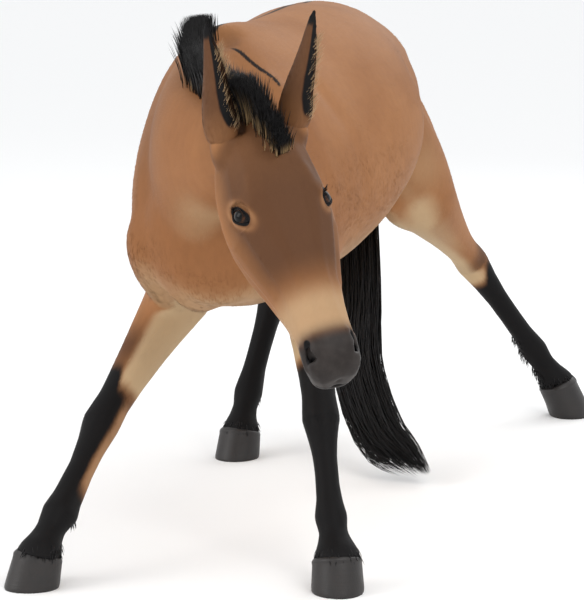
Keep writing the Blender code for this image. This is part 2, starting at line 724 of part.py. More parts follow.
def crest(rows, name, locks, width, thick, sink):
    """The standing hair along a stretch of crest, in two rows of locks that lean apart and overlap."""
    draw = random.Random(name)
    steps = blend([(*point, height) for point, height in rows], 8)
    made = []
    for k in range(locks):
        share = (k + 0.5 + draw.uniform(-0.25, 0.25)) / locks
        i = min(int(share * (len(steps) - 1)), len(steps) - 2)
        point, height = Vector(steps[i][:3]), steps[i][3] * draw.uniform(0.88, 1.04)
        ahead = (Vector(steps[i + 1][:3]) - point).normalized()
        up = crest_up(share, name)
        up = (up - ahead * up.dot(ahead)).normalized()
        side = up.cross(ahead) * (1 if k % 2 else -1)
        rise = (up + side * 0.05 + ahead * draw.uniform(-0.16, 0.10)).normalized()
        lean = side * draw.uniform(0.02, 0.16) - ahead * draw.uniform(0.02, 0.16)
        root = point + side * thick * 0.45 - rise * sink
        made.append(lock(root, rise, lean, height + sink, ahead, width * draw.uniform(0.85, 1.15), thick))
    combine(made[0], made[1:], "UNION", "MANIFOLD")
    return made[0]


def crest_up(share, name):
    """Which way the hair stands at a share of the way along the crest."""
    if name == "mane":
        return Vector((-0.10, -0.10, 0.99)).lerp(Vector((0.0, -0.25, 0.96)), share)
    return Vector((0.0, -0.35, 0.93)).lerp(Vector((0.45, -0.75, 0.45)), share)


def tail_rows():
    return blend([(*point, half, deep) for point, half, deep in TAIL], 6)


def tail_frame(rows, share):
    """The tail's middle, its ways down, across and outwards, and its half sizes, at a share of its length."""
    place = min(max(share, 0), 1) * (len(rows) - 1)
    i = min(int(place), len(rows) - 2)
    row = [a + (b - a) * (place - i) for a, b in zip(rows[i], rows[i + 1])]
    ahead = (Vector(rows[i + 1][:3]) - Vector(rows[i][:3])).normalized()
    side = Vector((1, 0, 0))
    side = (side - ahead * side.dot(ahead)).normalized()
    return Vector(row[:3]), ahead, side, ahead.cross(side), row[3], row[4]


def tail_form(name, grow, size, last):
    """A smooth form along the tail: the room that it takes up, or the core that its locks grow from."""
    rows = tail_rows()
    rings = []
    for k in range(10):
        share = last * k / 9
        middle, ahead, side, out, half, deep = tail_frame(rows, share)
        taper = size * (1 if size == 1 else min(1, 1.9 - 1.8 * k / 9))
        if k == 0:
            middle, taper = middle - ahead * grow, 1
        rings.append(oval(middle, side, out, *[half * taper + grow] * 2, *[deep * taper + grow] * 2, 0, 12))
    mesh = bmesh.new()
    shell(mesh, rings)
    return new_object(name, mesh, "hair")


def tail_locks():
    """The tail's hair in three tiers of long locks, each rooted in the core and lying along the tail."""
    draw = random.Random("tail")
    rows = tail_rows()
    made = []
    for first, last, count in TAIL_TIERS:
        for k in range(count):
            turn = 2 * math.pi * (k + draw.uniform(-0.2, 0.2)) / count
            start = first + draw.uniform(-0.05, 0.05)
            end = last - 0.10 * (1 - math.cos(turn)) / 2 - draw.uniform(0.0, 0.03)
            rings = []
            for j in range(6):
                t = j / 5
                middle, ahead, side, out, half, deep = tail_frame(rows, start + (end - start) * t)
                swing = turn + 0.25 * math.sin(3 * t + k)
                reach = 0.15 + 0.61 * min(1, t * 2.2)
                radial = side * math.cos(swing) * half + out * math.sin(swing) * deep
                centre = middle + radial * reach
                radial = radial.normalized()
                wide = out * math.cos(swing) * deep - side * math.sin(swing) * half
                wide = (wide - ahead * wide.dot(ahead)).normalized()
                radial = ahead.cross(wide)
                taper = (0.75 + 0.6 * t - 1.15 * t ** 3) * (half + deep) / 0.095
                centre.z = max(centre.z, 0.009)
                rings.append([centre + way * reach * sign for sign in (1, -1)
                              for way, reach in ((wide, 0.027 * taper), (radial, 0.009 * taper))])
            mesh = bmesh.new()
            shell(mesh, rings)
            made.append(new_object("lock", mesh, "hair"))
    return made


for thing in list(bpy.data.objects):
    bpy.data.objects.remove(thing)

MATERIALS = {
    "coat": material("coat", (0.35, 0.17, 0.08), 0.6),
    "horn": material("horn", (0.05, 0.04, 0.035), 0.5),
    "hair": material("hair", (0.02, 0.017, 0.016), 0.7),
    "eye": material("eye", (0.05, 0.02, 0.01), 0.05),
}
LEGS = {"fore_right": FORE_RIGHT, "fore_left": FORE_LEFT, "hind_right": HIND_RIGHT, "hind_left": HIND_LEFT}

body = flesh()
eye_centres = face_details(body)
cutters = [rod(centre, across, radius, -GAP / 2, GAP / 2, 32) for centre, across, radius in PARTINGS]
for leg, bones in LEGS.items():
    for place, radius in FORE_PARTINGS if "fore" in leg else HIND_PARTINGS:
        bone = along(bones, math.floor(place) + 1) - along(bones, math.floor(place))
        cutters.append(rod(along(bones, place), bone, radius, -GAP / 2, GAP / 2))
    top, up = coronet_cut(bones, leg)[:2]
    cutters.append(rod(top, -up, 0.09, 0, 0.15))
for side in ("right", "left"):
    root, aim = ear_parts(side)[:2]
    cutters.append(rod(root, aim, 0.045, 0, 0.12))
dock, below = Vector(TAIL[0][0]), Vector(TAIL[1][0])
cutters.append(rod(dock, below - dock, 0.042, -GAP, 0.05))
cutters.append(tail_form("cutter", 0.0008, 1, 1.0))
combine(body, cutters, "DIFFERENCE")
landmarks = {"torso": (0, 0, 0.85), "neck": (0.05, -0.70, 0.88), "head": tuple(head_point(0.4, -0.08, 0))}
for leg, bones in LEGS.items():
    landmarks["upper_" + leg] = along(bones, 1.85)
    landmarks["lower_" + leg] = along(bones, 3.0)
nodes = part(body, landmarks)

for side, centre in eye_centres.items():
    ball(f"eye_{side}", centre, EYE_RADIUS, "eye", (16, 10))
    ear(side)
for leg, bones in LEGS.items():
    hoof(leg, bones)
tail = tail_form("tail", 0.0, 0.62, 0.5)
combine(tail, tail_locks(), "UNION", "MANIFOLD")
keep_largest(tail)
combine(nodes["neck"], [crest(MANE, "mane", *MANE_LOCKS)], "UNION")
combine(nodes["head"], [crest(FORELOCK, "forelock", *FORELOCK_LOCKS)], "UNION")
throat, across = PARTINGS[0][:2]
for name in ("neck", "head"):
    combine(nodes[name], [ear_room("right"), ear_room("left")], "DIFFERENCE")
combine(nodes["neck"], [rod(throat, across, 0.24, -GAP * 0.4, 0.15, 32)], "DIFFERENCE")
combine(nodes["head"], [rod(throat, across, 0.24, -0.15, GAP * 0.4, 32)], "DIFFERENCE")
withers, across = PARTINGS[1][:2]
combine(nodes["neck"], [rod(withers, across, 0.45, -0.3, GAP * 0.4, 32)], "DIFFERENCE")
for node in nodes.values():
    keep_largest(node)
for node in bpy.data.objects:
    node.data.transform(Matrix.Translation(-MIDDLE))
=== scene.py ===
import math

import bpy
import numpy as np
from mathutils import Matrix, Vector


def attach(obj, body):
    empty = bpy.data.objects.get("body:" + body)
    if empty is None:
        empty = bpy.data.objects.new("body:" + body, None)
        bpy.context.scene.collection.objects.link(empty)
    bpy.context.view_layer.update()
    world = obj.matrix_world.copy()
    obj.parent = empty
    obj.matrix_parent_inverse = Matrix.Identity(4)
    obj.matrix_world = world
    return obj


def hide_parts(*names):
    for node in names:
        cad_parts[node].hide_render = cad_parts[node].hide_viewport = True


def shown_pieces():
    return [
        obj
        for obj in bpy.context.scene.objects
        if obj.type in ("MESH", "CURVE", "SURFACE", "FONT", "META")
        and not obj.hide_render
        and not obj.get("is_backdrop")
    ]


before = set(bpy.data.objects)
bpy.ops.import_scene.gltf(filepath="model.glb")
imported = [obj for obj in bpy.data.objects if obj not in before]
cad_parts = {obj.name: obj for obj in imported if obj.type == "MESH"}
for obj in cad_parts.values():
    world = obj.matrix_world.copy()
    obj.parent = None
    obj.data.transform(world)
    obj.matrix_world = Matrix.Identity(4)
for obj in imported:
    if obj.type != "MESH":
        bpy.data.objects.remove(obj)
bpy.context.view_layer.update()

# Where the animal's joints and features lie, in metres, with the animal facing -Y and its left side at +X

legs = {  # elbow or stifle, knee or hock, fetlock, coronet
    "foreRight": ((-0.196, -0.423, 0.546), (-0.286, -0.678, 0.285),
                  (-0.306, -0.863, 0.135), (-0.316, -0.928, 0.066)),
    "foreLeft": ((0.082, -0.443, 0.600), (0.174, -0.623, 0.315),
                 (0.228, -0.723, 0.135), (0.255, -0.768, 0.066)),
    "hindRight": ((-0.303, 0.237, 0.640), (-0.316, 0.537, 0.400),
                  (-0.344, 0.397, 0.150), (-0.342, 0.342, 0.066)),
    "hindLeft": ((0.052, 0.577, 0.620), (0.088, 0.902, 0.425),
                 (0.225, 1.036, 0.179), (0.278, 1.070, 0.090)),
}
legNode = {
    "foreRight": "fore_right", "foreLeft": "fore_left",
    "hindRight": "hind_right", "hindLeft": "hind_left",
}
crestLine = (  # the top of the neck from the withers to the poll, then down the forehead
    (-0.123, -0.473, 1.076), (-0.112, -0.553, 1.060), (-0.088, -0.653, 1.037), (-0.044, -0.758, 1.008),
    (0.027, -0.848, 0.982), (0.107, -0.915, 0.966), (0.144, -0.941, 0.957), (0.187, -0.971, 0.930),
    (0.220, -0.988, 0.898),
)
tailLine = (  # middle line, then half width and half depth
    (-0.168, 0.557, 1.000, 0.030, 0.028), (-0.178, 0.652, 0.945, 0.034, 0.032),
    (-0.182, 0.702, 0.850, 0.040, 0.038), (-0.152, 0.667, 0.700, 0.048, 0.042),
    (-0.108, 0.547, 0.545, 0.053, 0.046), (-0.056, 0.397, 0.390, 0.055, 0.046),
    (-0.035, 0.312, 0.240, 0.062, 0.040), (0.039, 0.234, 0.110, 0.064, 0.030),
    (0.106, 0.194, 0.060, 0.056, 0.022), (0.178, 0.150, 0.025, 0.022, 0.010),
)
headShape = {"poll": (0.144, -0.938, 0.957), "length": 0.54, "turn": 35, "noseOut": 36, "lean": 10.3}
headTurn = (Matrix.Rotation(math.radians(headShape["turn"]), 3, "Z")
            @ Matrix.Rotation(math.radians(-headShape["lean"]), 3, "Y")
            @ Matrix.Rotation(math.radians(-headShape["noseOut"]), 3, "X"))
downFace, outFace, leftFace = (headTurn @ Vector(way) for way in ((0, 0, -1), (0, -1, 0), (1, 0, 0)))


def onHead(share, out, left):
    middle = Vector(headShape["poll"]) + downFace * share * headShape["length"]
    return middle + outFace * out + leftFace * left


# Working with pieces


def pickOnly(*pieces):
    bpy.ops.object.select_all(action="DESELECT")
    for piece in pieces:
        piece.select_set(True)
    bpy.context.view_layer.objects.active = pieces[0]


def applyAll(piece):
    pickOnly(piece)
    for modifier in list(piece.modifiers):
        bpy.ops.object.modifier_apply(modifier=modifier.name)


def copyOfNodes(names, pieceName):
    copies = []
    for name in names:
        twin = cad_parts[name].copy()
        twin.data = twin.data.copy()
        twin.parent = None
        for key in list(twin.keys()):
            del twin[key]
        bpy.context.scene.collection.objects.link(twin)
        copies.append(twin)
    pickOnly(*copies)
    if len(copies) > 1:
        bpy.ops.object.join()
    piece = bpy.context.object
    piece.name = pieceName
    piece.data.materials.clear()
    bpy.ops.object.mode_set(mode="EDIT")
    bpy.ops.mesh.select_all(action="SELECT")
    bpy.ops.mesh.remove_doubles(threshold=0.00002)
    bpy.ops.object.mode_set(mode="OBJECT")
    return piece


def voxelRemesh(piece, size):
    modifier = piece.modifiers.new("remesh", "REMESH")
    modifier.mode = "VOXEL"
    modifier.voxel_size = size
    applyAll(piece)


def pointsOf(piece):
    found = np.empty(len(piece.data.vertices) * 3, np.float32)
    piece.data.vertices.foreach_get("co", found)
    return found.reshape(-1, 3).astype(np.float64)


def setPoints(piece, points):
    piece.data.vertices.foreach_set("co", points.astype(np.float32).ravel())
    piece.data.update()


def normalsOf(piece):
    found = np.empty(len(piece.data.vertices) * 3, np.float32)
    piece.data.vertices.foreach_get("normal", found)
    return found.reshape(-1, 3).astype(np.float64)


def edgesOf(piece):
    found = np.empty(len(piece.data.edges) * 2, np.int32)
    piece.data.edges.foreach_get("vertices", found)
    return found.reshape(-1, 2)


def relax(points, edges, share, turns):  # evens the surface out, point by point
    count = len(points)
    degree = np.maximum(np.bincount(edges.ravel(), minlength=count), 1)
    for _ in range(turns):
        for axis in range(3):
            line = points[:, axis]
            total = np.bincount(edges[:, 0], line[edges[:, 1]], count)
            total = total + np.bincount(edges[:, 1], line[edges[:, 0]], count)
            points[:, axis] = line + (total / degree - line) * share * 0.5
    return points


def reachFrom(points, start, end):  # distance from a straight stretch, and the place along it
    start = np.array(start)
    way = np.array(end) - start
    place = np.clip((points - start) @ way / max(way @ way, 1e-9), 0, 1)
    return np.linalg.norm(points - start - place[:, None] * way, axis=1), place


def softStep(low, high, value):
    share = np.clip((value - low) / (high - low), 0, 1)
    return share * share * (3 - 2 * share)


def curveThrough(points, steps):  # a smooth curve through points, as rows of numbers
    rows = [np.array(points[0])] + [np.array(point) for point in points] + [np.array(points[-1])]
    made = []
    for i in range(1, len(rows) - 2):
        a, b, c, d = rows[i - 1:i + 3]
        for step in range(steps):
            t = step / steps
            bend = (2 * a - 5 * b + 4 * c - d) * t ** 2
            made.append(0.5 * (2 * b + (c - a) * t + bend + (3 * b - a - 3 * c + d) * t ** 3))
    return np.array(made + [rows[-1]])


def readCurve(curve, share):  # rows of a curve at shares of its length
    place = np.clip(share, 0, 1) * (len(curve) - 1)
    low = np.minimum(place.astype(int), len(curve) - 2)
    part = (place - low)[..., None]
    return curve[low] * (1 - part) + curve[low + 1] * part


def unit(vectors):
    return vectors / np.maximum(np.linalg.norm(vectors, axis=-1, keepdims=True), 1e-9)


def headingOf(curve, share):  # which way a curve runs at shares of its length
    ahead = readCurve(curve, np.minimum(share + 0.02, 1))[..., :3]
    return unit(ahead - readCurve(curve, np.maximum(share - 0.02, 0))[..., :3])


# Shaders, written as sums on sockets


class Flow:
    def __init__(self, book, socket):
        self.book = book
        self.socket = socket

    def sum(self, operation, first, second):
        return self.book.make("ShaderNodeMath", {"operation": operation}, [first, second])

    def __add__(self, other):
        return self.sum("ADD", self, other)

    def __sub__(self, other):
        return self.sum("SUBTRACT", self, other)

    def __mul__(self, other):
        return self.sum("MULTIPLY", self, other)

    def __radd__(self, other):
        return self.sum("ADD", other, self)

    def __rsub__(self, other):
        return self.sum("SUBTRACT", other, self)

    def __rmul__(self, other):
        return self.sum("MULTIPLY", other, self)


class ShaderBook:
    def __init__(self, name):
        self.material = bpy.data.materials.new(name)
        self.material.use_nodes = True
        self.tree = self.material.node_tree
        self.surface = self.tree.nodes["Principled BSDF"]

    def make(self, kind, settings=None, inputs=(), output=0):
        node = self.tree.nodes.new(kind)
        for key, value in (settings or {}).items():
            setattr(node, key, value)
        pairs = inputs.items() if isinstance(inputs, dict) else enumerate(inputs)
        for key, value in pairs:
            self.put(node.inputs[key], value)
        return Flow(self, node.outputs[output])

    def put(self, socket, value):
        if isinstance(value, Flow):
            self.tree.links.new(value.socket, socket)
        elif isinstance(value, (tuple, list)) and len(value) == 3 and socket.type == "RGBA":
            socket.default_value = (*value, 1)
        else:
            socket.default_value = value

    def place(self):
        return self.make("ShaderNodeTexCoord", output="Object")

    def stretched(self, vector, scale, turn=(0, 0, 0)):
        return self.make("ShaderNodeMapping", {}, {"Vector": vector, "Scale": scale, "Rotation": turn})

    def noise(self, vector, scale, detail=3.0, rough=0.55):
        settings = {"Vector": vector, "Scale": scale, "Detail": detail, "Roughness": rough}
        return self.make("ShaderNodeTexNoise", {}, settings)

    def ranged(self, value, low, high, first=0.0, last=1.0):
        smooth = {"interpolation_type": "SMOOTHSTEP"}
        return self.make("ShaderNodeMapRange", smooth, [value, low, high, first, last])

    def blend(self, factor, first, second):
        node = self.tree.nodes.new("ShaderNodeMix")
        node.data_type = "RGBA"
        self.put(node.inputs["Factor"], factor)
        self.put(node.inputs[6], first)
        self.put(node.inputs[7], second)
        return Flow(self, node.outputs[2])

    def bump(self, height, strength, distance):
        settings = {"Height": height, "Strength": strength, "Distance": distance}
        return self.make("ShaderNodeBump", {}, settings)

    def marking(self):  # how black, how pale, how dark brown and how slate grey the coat is at a point, with painted shade and shadow in the dark brown and the black
        node = self.tree.nodes.new("ShaderNodeAttribute")
        node.attribute_name = "marking"
        split = self.tree.nodes.new("ShaderNodeSeparateColor")
        self.tree.links.new(node.outputs["Color"], split.inputs[0])
        return [Flow(self, socket) for socket in (*split.outputs, node.outputs["Alpha"])]

    def finish(self, **sockets):
        for key, value in sockets.items():
            self.put(self.surface.inputs[key.replace("_", " ")], value)
        return self.material


# the shade tone is the coat's dark brown and also painted shade; the black also paints the shadow in the nostrils
# and the mouth crease
coatTone = {
    "brown": (0.255, 0.107, 0.041), "fawn": (0.335, 0.152, 0.062), "cream": (0.490, 0.345, 0.200),
    "shade": (0.078, 0.033, 0.015), "black": (0.0048, 0.0043, 0.0046), "slate": (0.025, 0.0205, 0.019),
    "hairGrey": (0.018, 0.0165, 0.0175), "rootGold": (0.48, 0.32, 0.16),
    "ash": (0.036, 0.030, 0.0275),
}


def coatColour(book, raggedness):
    where = book.place()
    black, pale, shade, slate = book.marking()
    broad = book.ranged(book.noise(where, 3.2, 2.0), 0.30, 0.70)
    fine = book.ranged(book.noise(book.stretched(where, (70, 70, 34)), 1.0, 4.0), 0.30, 0.75)
    ragged = (book.noise(book.stretched(where, (150, 150, 60)), 1.0, 2.0) - 0.5) * raggedness
    colour = book.blend(broad, coatTone["brown"], coatTone["fawn"])
    colour = book.blend(fine * 0.10, colour, coatTone["shade"])
    colour = book.blend(book.ranged(pale + ragged * 0.5, 0.02, 1.0), colour, coatTone["cream"])
    colour = book.blend(book.ranged(shade + ragged * 0.4, 0.02, 1.1), colour, coatTone["shade"])
    mottled = book.ranged(book.noise(where, 42.0, 4.0), 0.35, 0.75)
    grey = book.blend(mottled, coatTone["slate"], coatTone["ash"])
    colour = book.blend(book.ranged(slate, 0.05, 0.95), colour, grey)
    return book.blend(book.ranged(black + ragged, 0.20, 0.85), colour, coatTone["black"])


def skinMaterial():
    book = ShaderBook("skin")
    where = book.place()
    lie = book.noise(book.stretched(where, (420, 420, 120)), 1.0, 3.0)
    pores = book.noise(where, 240.0, 3.0)
    slate = book.marking()[3]
    return book.finish(
        Base_Color=coatColour(book, 0.12), Roughness=book.ranged(slate, 0.2, 0.9, 0.60, 0.46),
        Specular_IOR_Level=0.12, Normal=book.bump(lie * 0.6 + pores * 0.4, 0.35, 0.0008),
    )


def coatMaterial():
    book = ShaderBook("coat")
    return book.finish(Base_Color=coatColour(book, 0.16), Roughness=0.58, Specular_IOR_Level=0.12)


def longHairMaterial():
    book = ShaderBook("longHair")
    where = book.place()
    pale = book.marking()[1]
    streak = book.noise(book.stretched(where, (300, 300, 16)), 1.0, 2.0)
    colour = book.blend(book.ranged(streak, 0.45, 0.80), coatTone["black"], coatTone["hairGrey"])
    colour = book.blend(pale, colour, coatTone["rootGold"])
    return book.finish(Base_Color=colour, Roughness=0.46, Specular_IOR_Level=0.22)


def hornMaterial():
    book = ShaderBook("horn")
    where = book.place()
    rings = book.noise(book.stretched(where, (10, 10, 190)), 1.0, 3.0)
    grain = book.noise(book.stretched(where, (380, 380, 22)), 1.0, 3.0)
    blotch = book.noise(where, 26.0, 4.0)
    colour = book.blend(book.ranged(blotch, 0.30, 0.72), (0.0085, 0.0066, 0.0062), (0.0150, 0.0116, 0.0106))
    colour = book.blend(book.ranged(grain, 0.50, 0.85) * 0.4, colour, (0.025, 0.0195, 0.0175))
    colour = book.blend(book.ranged(rings, 0.55, 0.80) * 0.3, colour, (0.0085, 0.0070, 0.0066))
    return book.finish(
        Base_Color=colour, Roughness=book.ranged(blotch, 0.3, 0.8, 0.42, 0.62),
        Normal=book.bump(rings * 0.65 + grain * 0.35, 0.55, 0.0014),
    )


# The skin: one closed surface over all the nodes of flesh


skinShape = {
    "voxel": 0.0038, "trunkTurns": 60, "legTurns": 9, "headTurns": 4, "fineTurns": 5, "crestTurns": 14,
    "triangles": 172000, "inset": 0.0020, "overlap": 0.0006, "sinkIntoHoof": 0.007,
}
eyeShape = {
    "right": (0.343, -0.046, -0.066), "left": (0.336, -0.050, 0.0695), "forward": 0.0030,
    "radius": 0.0258, "long": 0.0250, "upper": 0.0148, "lower": 0.0118, "lid": 0.0030,
    "lashes": 46, "lashWidth": 0.0010, "lashThick": 0.0006,
}
fleshNodes = ["torso", "neck", "head"]
fleshNodes += [part + "_" + leg for leg in legNode.values() for part in ("upper", "lower")]


def eyeFrame(way):  # its middle, the way it looks, along the lids to their front corner, and up across them
    look = (leftFace * way * 0.84 + outFace * 0.54).normalized()
    across = (outFace * 0.84 - leftFace * way * 0.54).normalized()
    along = (downFace * 0.81 + across * 0.58).normalized()
    up = (across * 0.81 - downFace * 0.58).normalized()
    middle = onHead(*eyeShape["left" if way > 0 else "right"]) + look * eyeShape["forward"]
    return [np.array(item) for item in (middle, look, along, up)]


def nostrilLine(way):
    rows = [onHead(share, out, way * left) for share, out, left in nostrilPlaces]
    return list(zip(rows[:-1], rows[1:]))


nostrilPlaces = (
    (0.868, -0.034, 0.044), (0.892, -0.040, 0.046), (0.916, -0.050, 0.043), (0.930, -0.057, 0.033),
)
faceStrokes = (  # ridges and hollows of the head: two places on it, then the reach and the rise
    ((0.22, -0.030, 0.066), (0.25, -0.036, 0.070), 0.016, -0.0060),  # hollow over the eye
    ((0.24, -0.006, 0.052), (0.33, -0.016, 0.064), 0.011, 0.0040),  # brow
    ((0.42, -0.080, 0.100), (0.64, -0.064, 0.064), 0.011, 0.0032),  # cheek crest
    ((0.44, -0.054, 0.086), (0.64, -0.042, 0.056), 0.015, -0.0030),
    ((0.46, -0.112, 0.090), (0.66, -0.090, 0.062), 0.014, -0.0026),
    ((0.58, -0.026, 0.034), (0.80, -0.036, 0.036), 0.010, -0.0028),
    ((0.40, -0.014, 0.040), (0.66, -0.016, 0.026), 0.008, 0.0024),  # edge of the nose bone
    ((0.855, -0.024, 0.030), (0.925, -0.034, 0.022), 0.0080, 0.0036),  # inner nostril rim
    ((0.860, -0.054, 0.050), (0.930, -0.066, 0.048), 0.0075, 0.0045),  # outer nostril rim
    ((0.80, -0.094, 0.048), (0.90, -0.094, 0.046), 0.0036, -0.0060),  # mouth line
    ((0.90, -0.094, 0.046), (0.97, -0.093, 0.031), 0.0036, -0.0060),
    ((0.97, -0.093, 0.031), (0.995, -0.092, 0.0), 0.0036, -0.0060),
    ((0.84, -0.084, 0.048), (0.96, -0.082, 0.034), 0.0070, 0.0022),  # upper lip
    ((0.84, -0.106, 0.044), (0.95, -0.104, 0.030), 0.0070, 0.0024),  # lower lip
)
headStrokes = []
for way in (-1, 1):
    for (share, out, left), (lastShare, lastOut, lastLeft), reach, rise in faceStrokes:
        start, end = onHead(share, out, way * left), onHead(lastShare, lastOut, way * lastLeft)
        headStrokes.append((start, end, reach, rise))
    headStrokes += [(start, end, 0.0068, -0.0085) for start, end in nostrilLine(way)]
headStrokes.append((onHead(0.40, 0.006, 0), onHead(0.78, -0.012, 0), 0.013, -0.0012))
headStrokes.append((onHead(0.93, -0.040, 0), onHead(0.995, -0.070, 0), 0.006, -0.0022))  # nose dip

bodyStrokes = []  # the same for the body, given for its left side and turned over for its right
for start, end, reach, rise in (
    ((0.040, -0.545, 0.990), (0.150, -0.500, 0.780), 0.026, 0.0060),  # spine of the shoulder blade
    ((0.088, -0.400, 1.000), (0.165, -0.350, 0.760), 0.030, -0.0060),  # behind the shoulder
    ((-0.020, -0.690, 0.960), (0.100, -0.600, 0.760), 0.024, -0.0050),  # in front of the shoulder
    ((0.140, -0.500, 0.700), (0.120, -0.480, 0.600), 0.024, -0.0045),
    ((0.150, 0.140, 0.960), (0.150, 0.180, 0.860), 0.050, -0.0100),  # flank
    ((0.060, 0.300, 1.070), (0.090, 0.300, 1.020), 0.030, 0.0070),  # point of the hip
    ((0.075, 0.420, 0.960), (0.080, 0.560, 0.760), 0.024, -0.0060),  # line of the thigh
):
    over = [(-0.236 - place[0], *place[1:]) for place in (start, end)]
    bodyStrokes += [(start, end, reach, rise), (*over, reach, rise)]


def crestUp(share):  # which way the hair of the crest stands, along the whole crest line
    low = Vector((-0.10, -0.10, 0.99)).lerp(Vector((0.0, -0.30, 0.95)), min(share / 0.68, 1))
    return low.lerp(Vector((0.45, -0.75, 0.45)), max(share - 0.70, 0) / 0.30).normalized()


def layDownHair(piece):  # the solids' locks are pressed flat onto the crest
    curve = curveThrough(crestLine, 12)
    ups = np.array([crestUp(i / (len(curve) - 1)) for i in range(len(curve))])
    points = pointsOf(piece)
    for start in range(0, len(points), 4000):
        block = points[start:start + 4000]
        nearest = np.argmin(np.linalg.norm(block[:, None] - curve[None] - ups[None] * 0.02, axis=2), axis=1)
        gap = block - curve[nearest]
        rise = np.einsum("ij,ij->i", gap, ups[nearest])
        aside = np.linalg.norm(gap - rise[:, None] * ups[nearest], axis=1)
        hair = (rise > -0.006) & (rise < 0.12) & (aside < 0.046)
        press = np.where(hair, rise + 0.006 + aside ** 2 / 0.12, 0)
        points[start:start + 4000] = block - ups[nearest] * np.maximum(press, 0)[:, None]
    setPoints(piece, points)


def fromHead(points):
    return np.maximum(reachFrom(points, onHead(0.05, -0.08, 0), onHead(1.0, -0.08, 0))[0] - 0.10, 0)


def openEye(points, way):  # the skin is laid over the eyeball as lids, and sinks behind it between them
    middle, look, along, up = eyeFrame(way)
    gap = points - middle
    u, v, w = gap @ along, gap @ up, gap @ look
    reach = np.hypot(u, v)
    ball, lid = eyeShape["radius"], eyeShape["radius"] + eyeShape["lid"]
    tall = np.where(v > 0, eyeShape["upper"], eyeShape["lower"])
    tall = tall * np.clip(1 - (u / eyeShape["long"]) ** 2, 0, 1)
    inside = softStep(-0.0008, 0.0014, tall - np.abs(v)) * (np.abs(u) < eyeShape["long"])
    outside = softStep(lid * 0.70, lid * 1.05, reach)
    lidLevel = np.where(reach < lid, np.sqrt(np.maximum(lid ** 2 - reach ** 2, 0)), (lid - reach) * 4)
    soft = 0.0025
    higher = w + soft * np.log1p(np.exp(np.clip((lidLevel - w) / soft, -30, 30)))  # the face or the ball
    upper = np.exp(-((v - tall - 0.0085) / 0.0026) ** 2) * (v > 0)
    lower = np.exp(-((-v - tall - 0.0075) / 0.0028) ** 2) * (v < 0)
    crease = upper * (1 - softStep(0.018, 0.028, np.abs(u))) * 0.0016
    crease += lower * (1 - softStep(0.016, 0.026, np.abs(u))) * 0.0010
    level = lidLevel * (1 - outside) + higher * outside - crease
    level = level * (1 - inside) + (np.sqrt(np.maximum(ball ** 2 - reach ** 2, 0)) - 0.005) * inside
    near = (reach < lid * 1.5) & (w > -0.022)
    points[near] += look * (level - w)[near, None]
    return points


def pickNear(piece, chosen):  # picks the faces whose corners are all chosen
    corners = np.empty(len(piece.data.loops), np.int32)
    piece.data.loops.foreach_get("vertex_index", corners)
    starts = np.empty(len(piece.data.polygons), np.int32)
    piece.data.polygons.foreach_get("loop_start", starts)
    whole = np.logical_and.reduceat(chosen[corners], starts)
    pickOnly(piece)
    bpy.ops.object.mode_set(mode="EDIT")
    bpy.ops.mesh.select_all(action="DESELECT")
    bpy.ops.object.mode_set(mode="OBJECT")
    piece.data.polygons.foreach_set("select", whole)
    bpy.ops.object.mode_set(mode="EDIT")
    bpy.ops.mesh.select_mode(type="FACE")


def fineHead(points):  # the places of the face that need the finer mesh
    share = (points - np.array(onHead(0, 0, 0))) @ np.array(downFace) / headShape["length"]
    fine = (share > 0.79) & (fromHead(points) < 0.02)
    for way in (-1, 1):
        fine |= np.linalg.norm(points - eyeFrame(way)[0], axis=1) < 0.050
    return fine


